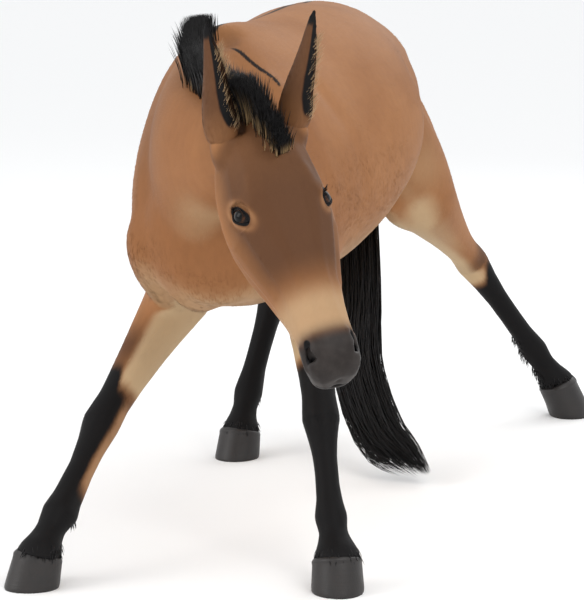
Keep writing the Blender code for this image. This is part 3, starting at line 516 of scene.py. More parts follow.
def makeSkin():
    upper = copyOfNodes(["head", "neck"], "crest")
    layDownHair(upper)
    names = [name for name in fleshNodes if name not in ("head", "neck")] + ["eye_right", "eye_left"]
    skin = copyOfNodes(names, "skin")
    pickOnly(skin, upper)
    bpy.ops.object.join()
    grow = skin.modifiers.new("grow", "DISPLACE")
    grow.strength = skinShape["overlap"]
    grow.mid_level = 0
    applyAll(skin)
    voxelRemesh(skin, skinShape["voxel"])
    points, edges = pointsOf(skin), edgesOf(skin)
    head = fromHead(points)
    trunk = softStep(0.40, 0.60, points[:, 2]) * softStep(0.03, 0.10, head)
    curve = curveThrough(crestLine, 12)
    nearest = np.min([np.linalg.norm(points - place, axis=1) for place in curve[::4]], axis=0)
    crest = np.exp(-(nearest / 0.035) ** 2)
    points = relax(points, edges, np.ones(len(points)), skinShape["headTurns"])
    points = relax(points, edges, np.maximum(softStep(0.0, 0.05, head), crest), skinShape["legTurns"])
    points = relax(points, edges, crest, skinShape["crestTurns"])
    points = relax(points, edges, trunk, skinShape["trunkTurns"])
    setPoints(skin, points)
    pickNear(skin, fineHead(points))
    bpy.ops.mesh.subdivide(number_cuts=1)
    bpy.ops.object.mode_set(mode="OBJECT")
    points, edges = pointsOf(skin), edgesOf(skin)
    points = relax(points, edges, fineHead(points).astype(float), skinShape["fineTurns"])
    setPoints(skin, points)
    normals = normalsOf(skin)
    head = fromHead(points)
    lift = np.zeros(len(points))
    for start, end, reach, rise in headStrokes + bodyStrokes:
        lift += rise * np.exp(-(reachFrom(points, start, end)[0] / reach) ** 2)
    points += normals * (lift - skinShape["inset"] * softStep(0.0, 0.1, head))[:, None]
    for way in (-1, 1):
        points = openEye(points, way)
    for *_, fetlock, coronet in legs.values():  # the ends of the legs are sunk into the hooves
        up = unit(np.array(fetlock) - np.array(coronet))
        low = (points - np.array(coronet)) @ up
        near = np.linalg.norm(points - np.array(coronet), axis=1) < 0.09
        sink = (1 - softStep(-0.002, 0.010, low)) * near
        points -= up * (sink * skinShape["sinkIntoHoof"])[:, None]
    setPoints(skin, points)
    group = skin.vertex_groups.new(name="body")
    lined = stripe(points, backLine, 0.016)
    for rows in crossLines:
        lined = np.maximum(lined, stripe(points, rows, 0.016))
    lined = (lined > 0) & (points[:, 2] > 0.90)
    weight = np.where(fineHead(points) | lined, 0, softStep(0.0, 0.06, head))
    for index in np.flatnonzero(weight > 0.01):
        group.add([int(index)], float(weight[index]), "REPLACE")
    fewer = skin.modifiers.new("fewer", "DECIMATE")
    skin.data.calc_loop_triangles()
    fewer.ratio = min(skinShape["triangles"] / len(skin.data.loop_triangles), 1)
    fewer.vertex_group = "body"
    fewer.vertex_group_factor = 1.0
    fewer.use_collapse_triangulate = True
    applyAll(skin)
    skin.vertex_groups.clear()
    skin.data.shade_smooth()
    return skin


# Markings: how black, how pale and how dark brown each point is, with some painted shade and shadow among them


legTone = {  # where the black begins, in joints, the way the pale side faces, where it starts and is full
    "foreRight": (0.68, (1.0, -0.35, 0.0), 0.15, 0.75),
    "foreLeft": (0.55, (-1.0, -0.55, 0.0), -0.40, 0.50),
    "hindRight": (0.96, (1.0, -0.80, 0.0), -0.40, 0.50),
    "hindLeft": (1.06, (-1.0, -1.30, 0.0), -0.40, 0.50),
}


def legMarks(points, normals):
    black, pale, shade = np.zeros((3, len(points)))
    for name, joints in legs.items():
        joints = [np.array(joint) for joint in joints]
        joints[-1] = joints[-1] - (0, 0, 0.04)
        nearest = np.full(len(points), 9.0)
        count = np.zeros(len(points))
        for k in range(3):
            gap, place = reachFrom(points, joints[k], joints[k + 1])
            count = np.where(gap < nearest, k + place, count)
            nearest = np.minimum(gap, nearest)
        begins, side, low, high = legTone[name]
        width = np.where(count < 1, 0.14 - 0.05 * count, 0.085)
        on = 1 - softStep(width * 0.8, width * 1.15, nearest)
        facing = normals @ unit(np.array(side))
        inner = softStep(low, high, facing)
        black = np.maximum(black, on * softStep(begins - 0.12, begins + 0.10, count - inner * 0.13))
        strip = softStep(0.60, 1.00, normals @ unit(np.array((side[0], 0.16, 0))))
        strip = strip * softStep(0.70, 0.95, count) * (1 - softStep(1.60, 1.95, count))
        strip = strip * name.startswith("fore")
        if name.endswith("Right"):
            black = black * (1 - 0.80 * strip * on)
        pale = np.maximum(pale, on * inner * (1 - softStep(begins + 0.04, begins + 0.16, count)))
        pale = np.maximum(pale, strip * on * 0.38)
        dusk = np.exp(-((count - begins + 0.12) / 0.17) ** 2) * (1 - 0.75 * inner) * 0.85
        shade = np.maximum(shade, on * np.maximum(dusk, strip * (1 - strip) * 1.6))
    return black, pale, shade


def stripe(points, rows, width):  # a dark line drawn over the coat, measured mostly from above
    flat = np.array((1.0, 1.0, 0.4))
    curve = curveThrough(rows, 4)
    near = np.full(len(points), 9.0)
    for start, end in zip(curve[:-1], curve[1:]):
        near = np.minimum(near, reachFrom(points * flat, start * flat, end * flat)[0])
    return 1 - softStep(width * 0.6, width * 1.3, near)


backLine = ((-0.118, -0.46, 1.094), (-0.120, -0.25, 1.112), (-0.122, 0.0, 1.118), (-0.135, 0.20, 1.112),
            (-0.160, 0.38, 1.085), (-0.178, 0.50, 1.040))
shoulderCross = ((-0.118, -0.459, 1.096), (-0.062, -0.517, 1.074), (-0.019, -0.539, 1.046),
                 (0.013, -0.545, 1.022), (0.055, -0.543, 0.985))
crossLines = (shoulderCross, [(-0.236 - place[0], *place[1:]) for place in shoulderCross])


def markings(points, normals):
    black, pale, shade = legMarks(points, normals)
    away = fromHead(points)
    share = (points - np.array(onHead(0, 0, 0))) @ np.array(downFace) / headShape["length"]
    nearHead = 1 - softStep(0.0, 0.02, away)
    below = softStep(0.15, 0.85, -normals[:, 2]) * softStep(0.42, 0.52, points[:, 2])
    pale = np.maximum(pale, below * 0.50 * softStep(0.03, 0.12, away))
    flank = np.exp(-(reachFrom(points, (0.18, 0.05, 0.66), (0.10, 0.42, 0.72))[0] / 0.10) ** 2)
    pale = np.maximum(pale, flank * 0.35)
    # painted shade: the lower neck and the front of the chest are darkened into the dark brown tone
    neckShade = reachFrom(points, (-0.13, -0.66, 0.90), (-0.10, -0.40, 0.80))[0]
    shade = np.maximum(shade, 0.46 * np.exp(-(neckShade / 0.20) ** 2))
    band = softStep(0.60, 0.75, share) * (1 - softStep(0.83, 0.88, share))
    outward = (points - np.array(onHead(0, 0, 0))) @ np.array(outFace)
    face = softStep(-0.100, -0.025, outward)  # the front of the face against its sides
    forehead = (0.34 + 0.58 * face) * (0.84 + 0.16 * softStep(0.10, 0.34, share))
    slate = softStep(0.775, 0.905, share) * nearHead
    pale = pale * (1 - nearHead) + nearHead * band * 0.56
    shade = shade * (1 - nearHead) + nearHead * forehead * (1 - softStep(0.54, 0.77, share))
    black = black * (1 - nearHead)
    for way in (-1, 1):
        middle, look, along, up = eyeFrame(way)
        gap = points - middle
        u, v = gap @ along, gap @ up
        here = (gap @ look > -0.01) * (1 - softStep(0.05, 0.06, np.linalg.norm(gap, axis=1)))
        flat = np.hypot(u / 1.66, np.where(v > 0, v, v * 1.24))
        ring = np.exp(-((flat - 0.0225) / 0.0062) ** 2) * here
        ring = ring * (0.55 + 0.45 * softStep(-0.01, 0.02, np.abs(v)))
        pale = np.maximum(pale, ring * 0.24)
        shade = shade * (1 - ring * 0.55)
        rim = (1 - softStep(0.0158, 0.0190, flat)) * here
        # a dark line running forward and a little down from the front corner of the eye
        corner = middle + along * 0.030
        cornerLine = reachFrom(points, corner, corner + along * 0.030 - up * 0.006)[0]
        cornerLine = 1 - softStep(0.003, 0.0085, cornerLine)
        black = np.maximum(black, np.maximum(rim, cornerLine * 0.75))
        pale = pale * (1 - cornerLine)
        # painted shadow: the nostril hollows are coloured near black
        nostrilShadow = np.min([reachFrom(points, start, end)[0] for start, end in nostrilLine(way)], axis=0)
        black = np.maximum(black, (1 - softStep(0.0055, 0.0125, nostrilShadow)) * 0.97)
    # painted shade: a dark line along the mouth crease between the lips
    mouthShade = 1 - softStep(0.003, 0.006, np.abs((points - np.array(onHead(0, -0.094, 0))) @ np.array(outFace)))
    black = np.maximum(black, mouthShade * softStep(0.80, 0.84, share) * nearHead * 0.6)
    body = softStep(0.06, 0.10, away)
    top = softStep(0.90, 0.95, points[:, 2])
    black = np.maximum(black, stripe(points, backLine, 0.0095) * body * top * 0.80)
    for rows in crossLines:
        black = np.maximum(black, stripe(points, rows, 0.0068) * body * top * 0.80)
    return np.stack([black, pale, shade, slate], axis=1)


def setMarking(piece, values):
    layer = piece.data.attributes.new("marking", "FLOAT_COLOR", "POINT")
    layer.data.foreach_set("color", np.clip(values, 0, 1).astype(np.float32).ravel())


# Hair and coat: tapered strands, each with a three-cornered section, joined to one mesh


def growStrands(name, paths, away, width, thick, marks, roots=None, swellAt=0.35):
    count, rings = paths.shape[:2]
    along = unit(np.gradient(paths, axis=1))
    away = np.broadcast_to(away[:, None] if away.ndim == 2 else away, paths.shape)
    away = unit(away - along * np.sum(along * away, axis=2, keepdims=True))
    across = np.cross(along, away)
    t = np.linspace(0, 1, rings)
    taper = (0.72 + 0.28 * np.minimum(t / swellAt, 1)) * (1 - t ** 2.2 * 0.9)
    half = np.broadcast_to(width, count)[:, None, None] / 2 * taper[None, :, None]
    high = np.broadcast_to(thick, count)[:, None, None] * taper[None, :, None]
    ring = np.stack([paths - across * half, paths + across * half, paths + away * high], axis=2)[:, :-1]
    points = np.concatenate([ring.reshape(count, -1, 3), paths[:, -1:]], axis=1)
    faces = [(0, 1, 2)]
    for k in range(rings - 2):
        a, b = 3 * k, 3 * k + 3
        faces += [(a, b, b + 1), (a, b + 1, a + 1), (a + 1, b + 1, b + 2)]
        faces += [(a + 1, b + 2, a + 2), (a, a + 2, b + 2), (a, b + 2, b)]
    last = 3 * (rings - 2)
    faces += [(last, last + 3, last + 1), (last + 1, last + 3, last + 2), (last + 2, last + 3, last)]
    each = points.shape[1]
    corners = (np.array(faces)[None] + np.arange(count)[:, None, None] * each).reshape(-1)
    mesh = bpy.data.meshes.new(name)
    mesh.vertices.add(count * each)
    mesh.vertices.foreach_set("co", points.astype(np.float32).ravel())
    mesh.loops.add(len(corners))
    mesh.loops.foreach_set("vertex_index", corners.astype(np.int32))
    mesh.polygons.add(len(corners) // 3)
    mesh.polygons.foreach_set("loop_start", np.arange(0, len(corners), 3, dtype=np.int32))
    mesh.update(calc_edges=True)
    piece = bpy.data.objects.new(name, mesh)
    bpy.context.scene.collection.objects.link(piece)
    mesh.shade_smooth()
    if marks.ndim == 2:
        marks = np.repeat(marks[:, None], each, axis=1)
    setMarking(piece, marks.reshape(-1, 4))
    if roots is not None:
        local = np.array([(-1, k / rings) if side == 0 else (1, k / rings) if side == 1 else (0, k / rings)
                          for k in range(rings - 1) for side in range(3)] + [(0, 1)])
        spot = roots[:, None] + (local[None] - (0, 0.5)) * (0.0015, 0.003)
        layer = mesh.uv_layers.new(name="OFBake")
        layer.data.foreach_set("uv", spot.reshape(-1, 2)[corners].astype(np.float32).ravel())
    return piece


def runOf(vectors, lengths):  # one vector for each strand, ready to run along its rings
    return (vectors * lengths[:, None])[:, None]


def lightAsSkin(piece, normals):  # its tufts catch the light as the skin under them does
    each = len(piece.data.vertices) // len(normals)
    piece.data.normals_split_custom_set_from_vertices(np.repeat(normals, each, axis=0).tolist())


def lieOfCoat(points, normals):  # which way the hair lies, from one bone to the next
    bones = [
        ((-0.12, -0.44, 0.90), (-0.13, 0.55, 0.88)), (onHead(0.0, -0.05, 0), Vector((-0.09, -0.50, 0.92))),
        (onHead(0.28, 0, 0), onHead(1.0, -0.06, 0)), (onHead(0.25, 0, 0), onHead(0.0, 0, 0)),
    ]
    for joints in legs.values():
        bones += list(zip(joints[:-1], joints[1:]))
    total = np.zeros_like(points)
    for start, end in bones:
        gap = reachFrom(points, start, end)[0]
        total += unit(np.array(end) - np.array(start)) * (1 / (gap + 0.02) ** 4)[:, None]
    total = unit(total) + np.array((0, 0, -0.25))
    return unit(total - normals * np.sum(total * normals, axis=1, keepdims=True))


coatShape = {
    "tufts": 18500, "pieces": 6, "length": 0.0150, "width": 0.0026, "thick": 0.00035, "lift": 0.035,
    "rootDepth": 0.0003, "bareEye": 0.031, "seed": 7,
}


def makeCoat(skin):
    draw = np.random.default_rng(coatShape["seed"])
    mesh = skin.data
    mesh.calc_loop_triangles()
    corners = np.empty(len(mesh.loop_triangles) * 3, np.int32)
    mesh.loop_triangles.foreach_get("vertices", corners)
    loops = np.empty(len(mesh.loop_triangles) * 3, np.int32)
    mesh.loop_triangles.foreach_get("loops", loops)
    corners, loops = corners.reshape(-1, 3), loops.reshape(-1, 3)
    spots = np.empty(len(mesh.loops) * 2, np.float32)
    mesh.uv_layers["OFBake"].data.foreach_get("uv", spots)
    spots = spots.reshape(-1, 2)
    points, normals = pointsOf(skin), normalsOf(skin)
    a, b, c = (points[corners[:, k]] for k in range(3))
    area = np.linalg.norm(np.cross(b - a, c - a), axis=1)
    middle = points[corners].mean(axis=1)
    head = fromHead(middle)
    size = 0.42 + 0.58 * softStep(0.0, 0.08, head) * softStep(0.10, 0.45, middle[:, 2])
    chance = area / size ** 1.6
    for way in (-1, 1):
        chance *= np.linalg.norm(middle - eyeFrame(way)[0], axis=1) > coatShape["bareEye"]
    share = (middle - np.array(onHead(0, 0, 0))) @ np.array(downFace) / headShape["length"]
    chance *= 1 - softStep(0.84, 0.90, share) * (head < 0.02)
    pieces = []
    for number in range(coatShape["pieces"]):
        pick = draw.choice(len(corners), coatShape["tufts"], p=chance / chance.sum())
        weights = draw.dirichlet((1, 1, 1), len(pick))[:, :, None]
        root = (points[corners[pick]] * weights).sum(axis=1)
        normal = unit((normals[corners[pick]] * weights).sum(axis=1))
        spot = (spots[loops[pick]] * weights).sum(axis=1)
        lie = lieOfCoat(root, normal)
        side = np.cross(lie, normal)
        lie = unit(lie + side * draw.normal(0, 0.11, len(pick))[:, None])
        long = coatShape["length"] * size[pick] * draw.uniform(0.7, 1.25, len(pick))
        rise = coatShape["lift"] * draw.uniform(0.4, 1.3, len(pick))
        t = np.linspace(0, 1, 3)[None, :, None]
        paths = root[:, None] + runOf(lie, long) * t + runOf(normal, long * rise) * (t ** 1.5)
        paths = paths - normal[:, None] * coatShape["rootDepth"]
        wide, thick = coatShape["width"] * size[pick], coatShape["thick"] * size[pick]
        mark = markings(paths.reshape(-1, 3), np.repeat(normal, 3, axis=0)).reshape(-1, 3, 4)
        mark = np.concatenate([np.repeat(mark[:, :2], 3, axis=1), mark[:, 2:]], axis=1)
        piece = growStrands(f"coat{number + 1}", paths, normal, wide, thick, mark, spot)
        shine = unit(normal + side * draw.normal(0, 0.05, len(pick))[:, None] + lie * 0.06)
        lightAsSkin(piece, shine)
        pieces.append(piece)
    return pieces


hairShape = {
    "maneStrands": 6400, "maneWidth": 0.0028, "maneThick": 0.0016, "maneSpread": 0.0075, "maneRoot": 0.014,
    "tailStrands": 1500, "tailWidth": 0.0042, "tailThick": 0.0020, "forelockFrom": 0.66, "seed": 11,
}
maneHeight = (0.045, 0.065, 0.070, 0.075, 0.080, 0.075, 0.078, 0.052, 0.030)


def makeMane():
    draw = np.random.default_rng(hairShape["seed"])
    count = hairShape["maneStrands"]
    rows = curveThrough([(*point, height) for point, height in zip(crestLine, maneHeight)], 12)
    share = draw.uniform(0, 1, count)
    base = readCurve(rows, share)
    ahead = headingOf(rows, share)
    up = np.array([crestUp(value) for value in share])
    up = unit(up - ahead * np.sum(up * ahead, axis=1, keepdims=True))
    side = np.cross(up, ahead)
    clump = np.sin(share * 150 + draw.normal(0, 0.5, count))
    offset = draw.normal(0, hairShape["maneSpread"], count)
    height = base[:, 3] * draw.uniform(0.91, 1.02, count) * (0.985 + 0.02 * clump)
    lean = side * (offset * 9 + draw.normal(0, 0.03, count))[:, None]
    lean = lean + ahead * (clump * 0.04 - 0.10 + draw.normal(0, 0.03, count))[:, None]
    root = base[:, :3] + side * offset[:, None] - up * hairShape["maneRoot"]
    t = np.linspace(0, 1, 6)[None, :, None]
    paths = root[:, None] + runOf(up, height + hairShape["maneRoot"]) * t + runOf(lean, height) * t ** 2
    marks = np.zeros((count, 3 * 5 + 1, 4))
    marks[..., 0] = 1
    forelock = share > hairShape["forelockFrom"]
    streaky = (draw.uniform(0, 1, count) < 0.25 + 0.45 * forelock) * draw.uniform(0.4, 1.0, count)
    level = np.append(np.repeat(np.linspace(0, 1, 6)[:-1], 3), 1)
    fade = np.where(forelock, 2.1, 3.8)
    marks[..., 1] = streaky[:, None] * np.clip(1.5 - level[None] * fade[:, None], 0, 1)
    return growStrands("mane", paths, side, hairShape["maneWidth"], hairShape["maneThick"], marks)


def makeTail():
    draw = np.random.default_rng(hairShape["seed"] + 1)
    count, rings = hairShape["tailStrands"], 12
    rows = curveThrough(tailLine, 10)
    start = draw.uniform(0.02, 0.55, count) ** 1.1
    turn = draw.uniform(0, 2 * math.pi, count)
    end = start + draw.uniform(0.45, 0.75, count)
    end = np.minimum(end, 1.0 - 0.10 * (1 - np.cos(turn)) / 2 * draw.uniform(0.5, 1.5, count))
    t = np.linspace(0, 1, rings)[None]
    share = start[:, None] + (end - start)[:, None] * t
    middle = readCurve(rows, share)
    ahead = headingOf(rows, share)
    side = np.broadcast_to(np.array((1.0, 0, 0)), ahead.shape)
    side = unit(side - ahead * np.sum(ahead * side, axis=2, keepdims=True))
    out = np.cross(ahead, side)
    swing = turn[:, None] + 0.35 * np.sin(3 * t + draw.uniform(0, 6, count)[:, None])
    reach = np.minimum(0.35 + 1.6 * t, 1) * draw.uniform(0.35, 0.98, count)[:, None]
    radial = side * (np.cos(swing) * middle[..., 3])[..., None]
    radial = radial + out * (np.sin(swing) * middle[..., 4])[..., None]
    paths = middle[..., :3] + radial * reach[..., None]
    paths[..., 2] = np.maximum(paths[..., 2], 0.004)
    marks = np.zeros((count, 4))
    marks[:, 0] = 1
    width, thick = hairShape["tailWidth"], hairShape["tailThick"]
    return growStrands("tailHair", paths, unit(radial), width, thick, marks)


# Ears, eyes, hooves


earShape = {
    "length": 0.218, "rows": 30, "columns": 30, "wall": 0.0042, "seed": 5,
    "hairs": 420, "hairWidth": 0.0016, "hairThick": 0.0006,
    "tufts": 1500, "tuftWidth": 0.0015, "tuftThick": 0.0004,
}
earAim = {"right": (-0.135, -0.05, 0.98), "left": (0.16, 0.08, 0.98)}
earOpens = {"right": (0.96, 0.18, 0.05), "left": (0.95, 0.24, 0.04)}
earStations = (  # share of the length, half width, reach back, reach to the open side, half the opening
    (-0.12, 0.0165, 0.0175, 0.0165, 0.02), (-0.02, 0.0290, 0.0310, 0.0275, 0.04),
    (0.05, 0.0330, 0.0370, 0.0305, 0.12), (0.14, 0.0365, 0.0405, 0.0315, 0.55),
    (0.25, 0.0385, 0.0410, 0.0315, 0.95), (0.40, 0.0375, 0.0375, 0.0295, 1.10),
    (0.60, 0.0305, 0.0285, 0.0210, 1.15), (0.80, 0.0180, 0.0180, 0.0115, 1.15),
    (0.93, 0.0082, 0.0100, 0.0045, 1.10), (1.00, 0.0016, 0.0020, 0.0010, 1.00),
)


def earFrame(side):
    way = -1 if side == "right" else 1
    aim = unit(np.array(earAim[side]))
    opens = np.array(earOpens[side])
    opens = unit(opens - aim * (opens @ aim))
    return np.array(onHead(0.072, -0.035, way * 0.067)) + aim * 0.022, aim, opens, np.cross(aim, opens)


def onEar(side, rise, turn, inwards=0.0):  # turn runs from -1 at one rim over the back to 1 at the other
    root, aim, opens, wide = earFrame(side)
    shares = np.array([row[0] for row in earStations])
    half, back, front, gap = [np.interp(rise, shares, [row[k] for row in earStations]) for k in range(1, 5)]
    angle = turn * (math.pi - gap)
    reach = np.where(np.cos(angle) > 0, back, front)
    bow = 0.010 * np.sin(np.clip(rise, 0, 1) * math.pi)
    curl = 0.06 * np.abs(turn) ** 6  # the rims roll a little inwards
    shrink = 1 - curl - inwards / np.maximum(half, 0.002)
    place = root + aim * (rise * earShape["length"])[..., None]
    place = place + opens * (bow - np.cos(angle) * reach * shrink)[..., None]
    return place + wide * (np.sin(angle) * half * shrink)[..., None]


def earMarks(rise, turn, inner):
    tip = softStep(0.80, 0.92, rise)
    rim = np.maximum(softStep(0.64, 0.78, -turn), softStep(0.84, 0.95, turn)) * softStep(0.02, 0.14, rise)
    black = np.maximum(tip, rim * 0.95) * (1 - inner) + inner * np.maximum(0.55 + 0.4 * tip, 0.4 * rim)
    shade = (0.62 + 0.26 * softStep(0.0, 0.35, rise)) * (1 - inner) + inner * 0.9
    return np.stack([black, np.zeros_like(rise), shade, np.zeros_like(rise)], axis=-1)


def makeEar(side):
    rows, columns = earShape["rows"], earShape["columns"]
    bpy.ops.object.select_all(action="DESELECT")
    bpy.ops.mesh.primitive_grid_add(x_subdivisions=columns - 1, y_subdivisions=rows - 1, size=2)
    ear = bpy.context.object
    ear.name = "ear" + side.title()
    flat = pointsOf(ear)
    rise = -0.12 + 1.12 * (flat[:, 1] + 1) / 2
    turn = flat[:, 0]
    setPoints(ear, onEar(side, rise, turn))
    layer = ear.data.attributes.new("place", "FLOAT_VECTOR", "POINT")
    layer.data.foreach_set("vector", np.stack([rise, turn, rise * 0], axis=1).astype(np.float32).ravel())
    pickOnly(ear)
    bpy.ops.object.mode_set(mode="EDIT")
    bpy.ops.mesh.select_all(action="SELECT")
    bpy.ops.mesh.normals_make_consistent(inside=False)
    bpy.ops.object.mode_set(mode="OBJECT")
    middle = np.array(onEar(side, np.array([0.3]), np.array([0.0])))[0]
    nearest = np.argmin(np.linalg.norm(pointsOf(ear) - middle, axis=1))
    if normalsOf(ear)[nearest] @ earFrame(side)[2] > 0:  # the grid must face the back of the ear
        bpy.ops.object.mode_set(mode="EDIT")
        bpy.ops.mesh.flip_normals()
        bpy.ops.object.mode_set(mode="OBJECT")
    wall = ear.modifiers.new("wall", "SOLIDIFY")
    wall.thickness = earShape["wall"]
    wall.offset = -1
    smooth = ear.modifiers.new("smooth", "SUBSURF")
    smooth.levels = smooth.render_levels = 1
    applyAll(ear)
    ear.data.shade_smooth()
    points = pointsOf(ear)
    found = np.empty(len(points) * 3, np.float32)
    ear.data.attributes["place"].data.foreach_get("vector", found)
    rise, turn = found.reshape(-1, 3)[:, 0], found.reshape(-1, 3)[:, 1]
    outer = np.linalg.norm(points - onEar(side, rise, turn), axis=1)
    setMarking(ear, earMarks(rise, turn, softStep(0.0012, 0.0030, outer)))
    ear.data.attributes.remove(ear.data.attributes["place"])
    return ear


def makeEarHair(side):
    draw = np.random.default_rng(earShape["seed"])
    aim, opens = earFrame(side)[1:3]
    count = earShape["hairs"]
    rise = draw.uniform(0.02, 0.74, count)
    sideOf = np.where(draw.uniform(0, 1, count) < 0.16, -1, 1)
    depth = draw.uniform(0.62, 0.95, count)
    start = onEar(side, rise, sideOf * depth, 0.0035)
    inwards = unit(onEar(side, rise, sideOf * (depth - 0.25), 0.006) - start)
    way = unit(aim * 0.75 + opens * 0.55 + inwards * draw.uniform(-0.45, 0.35, count)[:, None])
    long = draw.uniform(0.012, 0.026, count)
    t = np.linspace(0, 1, 4)[None, :, None]
    paths = start[:, None] + runOf(way, long) * t + runOf(aim * 0.3, long) * t ** 2
    marks = np.zeros((count, 4))
    marks[:, 1] = draw.uniform(0.55, 1.0, count)
    marks[:, 2] = 0.10
    return growStrands("earHair" + side.title(), paths, opens, earShape["hairWidth"], earShape["hairThick"],
                       marks, np.stack([rise, depth], axis=1))


def makeEarCoat(side):
    draw = np.random.default_rng(earShape["seed"] + 1)
    count = earShape["tufts"]
    rise, turn = draw.uniform(-0.06, 0.98, count), draw.uniform(-0.98, 0.98, count)
    start = onEar(side, rise, turn)
    normal = unit(start - onEar(side, rise, turn, 0.01))
    lie = unit(onEar(side, rise + 0.03, turn) - start)
    t = np.linspace(0, 1, 3)[None, :, None]
    long = draw.uniform(0.005, 0.010, count) * (1 - 0.5 * rise)
    paths = start[:, None] + runOf(lie, long) * t + runOf(normal, long * 0.10) * t ** 1.5
    paths = paths - normal[:, None] * coatShape["rootDepth"]
    marks = earMarks(rise, turn, np.zeros(count))
    width, thick = earShape["tuftWidth"], earShape["tuftThick"]
    piece = growStrands("earCoat" + side.title(), paths, normal, width, thick, marks, np.stack([rise, turn], axis=1))
    lightAsSkin(piece, normal)
    return piece


def makeEye(side):
    way = -1 if side == "right" else 1
    middle, look, along, up = eyeFrame(way)
    bpy.ops.object.select_all(action="DESELECT")
    radius = eyeShape["radius"]
    bpy.ops.mesh.primitive_uv_sphere_add(segments=64, ring_count=40, radius=radius, location=middle)
    eye = bpy.context.object
    eye.name = "eye" + side.title()
    bpy.ops.object.transform_apply(location=True, rotation=True, scale=True)
    points = pointsOf(eye)
    gap = points - middle
    bulge = np.exp(-(np.hypot(gap @ along, gap @ up) / 0.010) ** 2) * (gap @ look > 0)
    setPoints(eye, points + look * (bulge * 0.0012)[:, None])  # the clear front stands out a little
    bpy.ops.object.shade_smooth()
    book = ShaderBook("eye" + side.title())
    spot = tuple(Vector(middle) + Vector(look) * radius)
    away = book.make("ShaderNodeVectorMath", {"operation": "DISTANCE"}, [book.place(), spot], "Value")
    rays = book.noise(book.stretched(book.place(), (260, 260, 260)), 1.0, 2.0)
    iris = book.blend(book.ranged(rays, 0.35, 0.7), (0.016, 0.006, 0.003), (0.060, 0.024, 0.010))
    colour = book.blend(book.ranged(away, 0.0105, 0.0125), (0.003, 0.003, 0.003), iris)
    colour = book.blend(book.ranged(away, 0.0155, 0.0185), colour, (0.006, 0.004, 0.004))
    eye.data.materials.append(book.finish(Base_Color=colour, Roughness=0.04, Specular_IOR_Level=0.15))
    return eye


def makeLids(side):  # the dark rims of the two lids, a rounded edge along the opening
    middle, look, along, up = eyeFrame(-1 if side == "right" else 1)
    turns = np.linspace(0, 2 * math.pi, 96, endpoint=False)
    long = eyeShape["long"] * 1.01
    u = np.cos(turns) * long
    tall = np.where(np.sin(turns) > 0, eyeShape["upper"], eyeShape["lower"])
    v = np.sign(np.sin(turns)) * tall * np.sin(turns) ** 2
    level = np.sqrt(np.maximum((eyeShape["radius"] + 0.0010) ** 2 - u ** 2 - v ** 2, 0.00002))
    ring = middle + along * u[:, None] + up * v[:, None] + look * level[:, None]
    ahead = unit(np.roll(ring, -1, axis=0) - np.roll(ring, 1, axis=0))
    out = unit(ring - middle)
    beside = np.cross(ahead, out)
    width = 0.0017 + 0.0010 * np.maximum(np.sin(turns), 0)
    points = []
    for angle in np.linspace(0, 2 * math.pi, 10, endpoint=False):
        points.append(ring + (beside * math.cos(angle) + out * math.sin(angle) * 0.8) * width[:, None])
    points = np.stack(points, axis=1).reshape(-1, 3)
    faces = []
    for i in range(96):
        for k in range(10):
            a, b = i * 10 + k, i * 10 + (k + 1) % 10
            c, d = (i + 1) % 96 * 10 + (k + 1) % 10, (i + 1) % 96 * 10 + k
            faces.append((a, b, c, d))
    mesh = bpy.data.meshes.new("lids")
    mesh.from_pydata(points.tolist(), [], faces)
    lids = bpy.data.objects.new("lids" + side.title(), mesh)
    bpy.context.scene.collection.objects.link(lids)
    pickOnly(lids)
    bpy.ops.object.mode_set(mode="EDIT")
    bpy.ops.mesh.select_all(action="SELECT")
    bpy.ops.mesh.normals_make_consistent(inside=False)
    bpy.ops.object.mode_set(mode="OBJECT")
    mesh.shade_smooth()
    marks = np.zeros((len(points), 4))
    marks[:, 0] = 0.93
    setMarking(lids, marks)
    return lids


def makeLashes(side):
    middle, look, along, up = eyeFrame(-1 if side == "right" else 1)
    draw = np.random.default_rng(eyeShape["lashes"])
    count = eyeShape["lashes"]
    u = draw.uniform(-0.95, 0.55, count) * eyeShape["long"]
    v = eyeShape["upper"] * (1 - (u / eyeShape["long"]) ** 2)
    level = np.sqrt(np.maximum((eyeShape["radius"] + 0.0022) ** 2 - u ** 2 - v ** 2, 0.00002))
    root = middle + along * u[:, None] + up * v[:, None] + look * level[:, None]
    fan = u / eyeShape["long"] * 0.7 + draw.normal(0, 0.10, count)
    way = unit(look * 0.9 + up * 0.35 + along * fan[:, None])
    long = draw.uniform(0.008, 0.013, count)
    t = np.linspace(0, 1, 4)[None, :, None]
    paths = root[:, None] + runOf(way, long) * t - runOf(up * 0.45, long) * t * (1 - t)
    marks = np.zeros((count, 4))
    marks[:, 0] = 1
    width, thick = eyeShape["lashWidth"], eyeShape["lashThick"]
    return growStrands("lashes" + side.title(), paths, up, width, thick, marks)


hoofShape = {
    "voxel": 0.0022, "turns": 26, "band": 0.0016, "heelRunsIn": 0.34, "fringe": 150, "fringeLong": 0.020,
    "fetlockHair": 90, "fetlockLong": 0.026, "hairWidth": 0.0032, "hairThick": 0.0012, "seed": 3,
}


